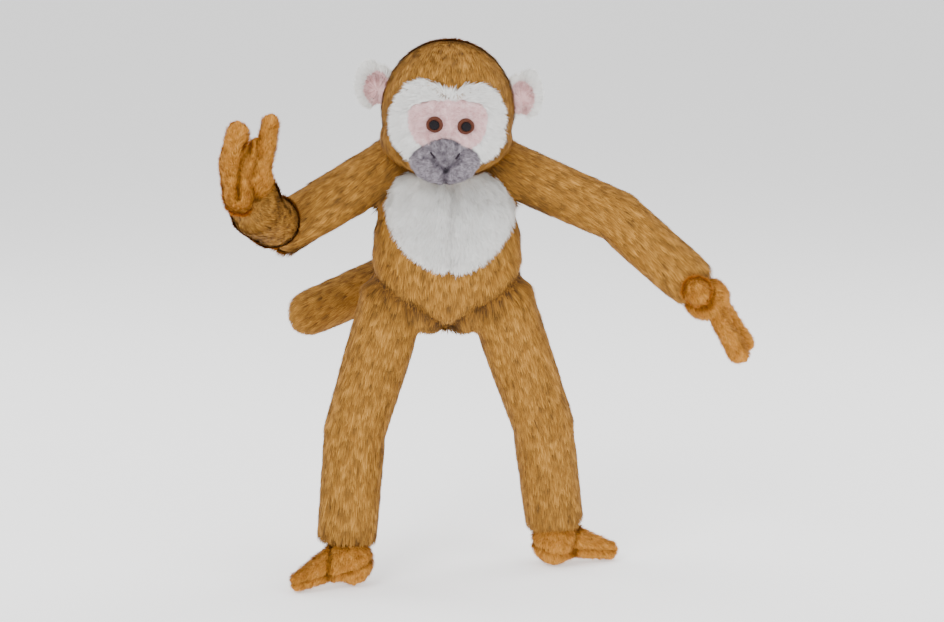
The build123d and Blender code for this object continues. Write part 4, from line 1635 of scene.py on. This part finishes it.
class PLUSH_OT_sew_body(bpy.types.Operator):
    """Sews the brown torso, arms, legs and tail"""

    bl_idname = "plush.sew_body"
    bl_label = "Sew Body"

    def execute(self, context):
        sew_body()
        return {"FINISHED"}


class PLUSH_OT_sew_bib(bpy.types.Operator):
    """Sews the two white chest panels"""

    bl_idname = "plush.sew_bib"
    bl_label = "Sew Bib"

    def execute(self, context):
        sew_bib()
        return {"FINISHED"}


class PLUSH_OT_sew_neck(bpy.types.Operator):
    """Sews the neck"""

    bl_idname = "plush.sew_neck"
    bl_label = "Sew Neck"

    def execute(self, context):
        sew_neck()
        return {"FINISHED"}


class PLUSH_OT_sew_head(bpy.types.Operator):
    """Sews the head, mask, brow, eyes and muzzle"""

    bl_idname = "plush.sew_head"
    bl_label = "Sew Head"

    def execute(self, context):
        sew_eyes(sew_head())
        sew_nostrils(sew_muzzle())
        return {"FINISHED"}


class PLUSH_OT_sew_ears(bpy.types.Operator):
    """Sews both ears and their linings"""

    bl_idname = "plush.sew_ears"
    bl_label = "Sew Ears"

    def execute(self, context):
        sew_ears()
        return {"FINISHED"}


class PLUSH_OT_sew_hands(bpy.types.Operator):
    """Sews both hands"""

    bl_idname = "plush.sew_hands"
    bl_label = "Sew Hands"

    def execute(self, context):
        sew_hands()
        return {"FINISHED"}


class PLUSH_OT_sew_feet(bpy.types.Operator):
    """Sews both feet"""

    bl_idname = "plush.sew_feet"
    bl_label = "Sew Feet"

    def execute(self, context):
        sew_feet()
        return {"FINISHED"}


class PLUSH_OT_set_stage(bpy.types.Operator):
    """Sets the floor, lights and camera"""

    bl_idname = "plush.set_stage"
    bl_label = "Set Stage"

    def execute(self, context):
        set_stage()
        return {"FINISHED"}


OPERATORS = [
    PLUSH_OT_sew_body,
    PLUSH_OT_sew_bib,
    PLUSH_OT_sew_neck,
    PLUSH_OT_sew_head,
    PLUSH_OT_sew_ears,
    PLUSH_OT_sew_hands,
    PLUSH_OT_sew_feet,
    PLUSH_OT_set_stage,
]


class PLUSH_PT_panel(bpy.types.Panel):
    """Lists the pieces of the plush monkey."""

    bl_idname = "PLUSH_PT_panel"
    bl_label = "Plush Monkey"
    bl_space_type = "VIEW_3D"
    bl_region_type = "UI"
    bl_category = "Plush Monkey"

    def draw(self, context):
        for group_name in ("plush_sizes", "plush_colours"):
            held = getattr(context.scene, group_name)
            for name in held.__annotations__:
                self.layout.prop(held, name)
        for made in OPERATORS:
            self.layout.operator(made.bl_idname)


CLASSES = [PlushSizes, PlushColours, *OPERATORS, PLUSH_PT_panel]


def register():
    for made in CLASSES:
        bpy.utils.register_class(made)
    bpy.types.Scene.plush_sizes = PointerProperty(type=PlushSizes)
    bpy.types.Scene.plush_colours = PointerProperty(type=PlushColours)


def unregister():
    del bpy.types.Scene.plush_colours
    del bpy.types.Scene.plush_sizes
    for made in reversed(CLASSES):
        bpy.utils.unregister_class(made)


def main():
    register()
    for made in OPERATORS:
        space, name = made.bl_idname.split(".")
        getattr(getattr(bpy.ops, space), name)()


if __name__ == "__main__":
    main()
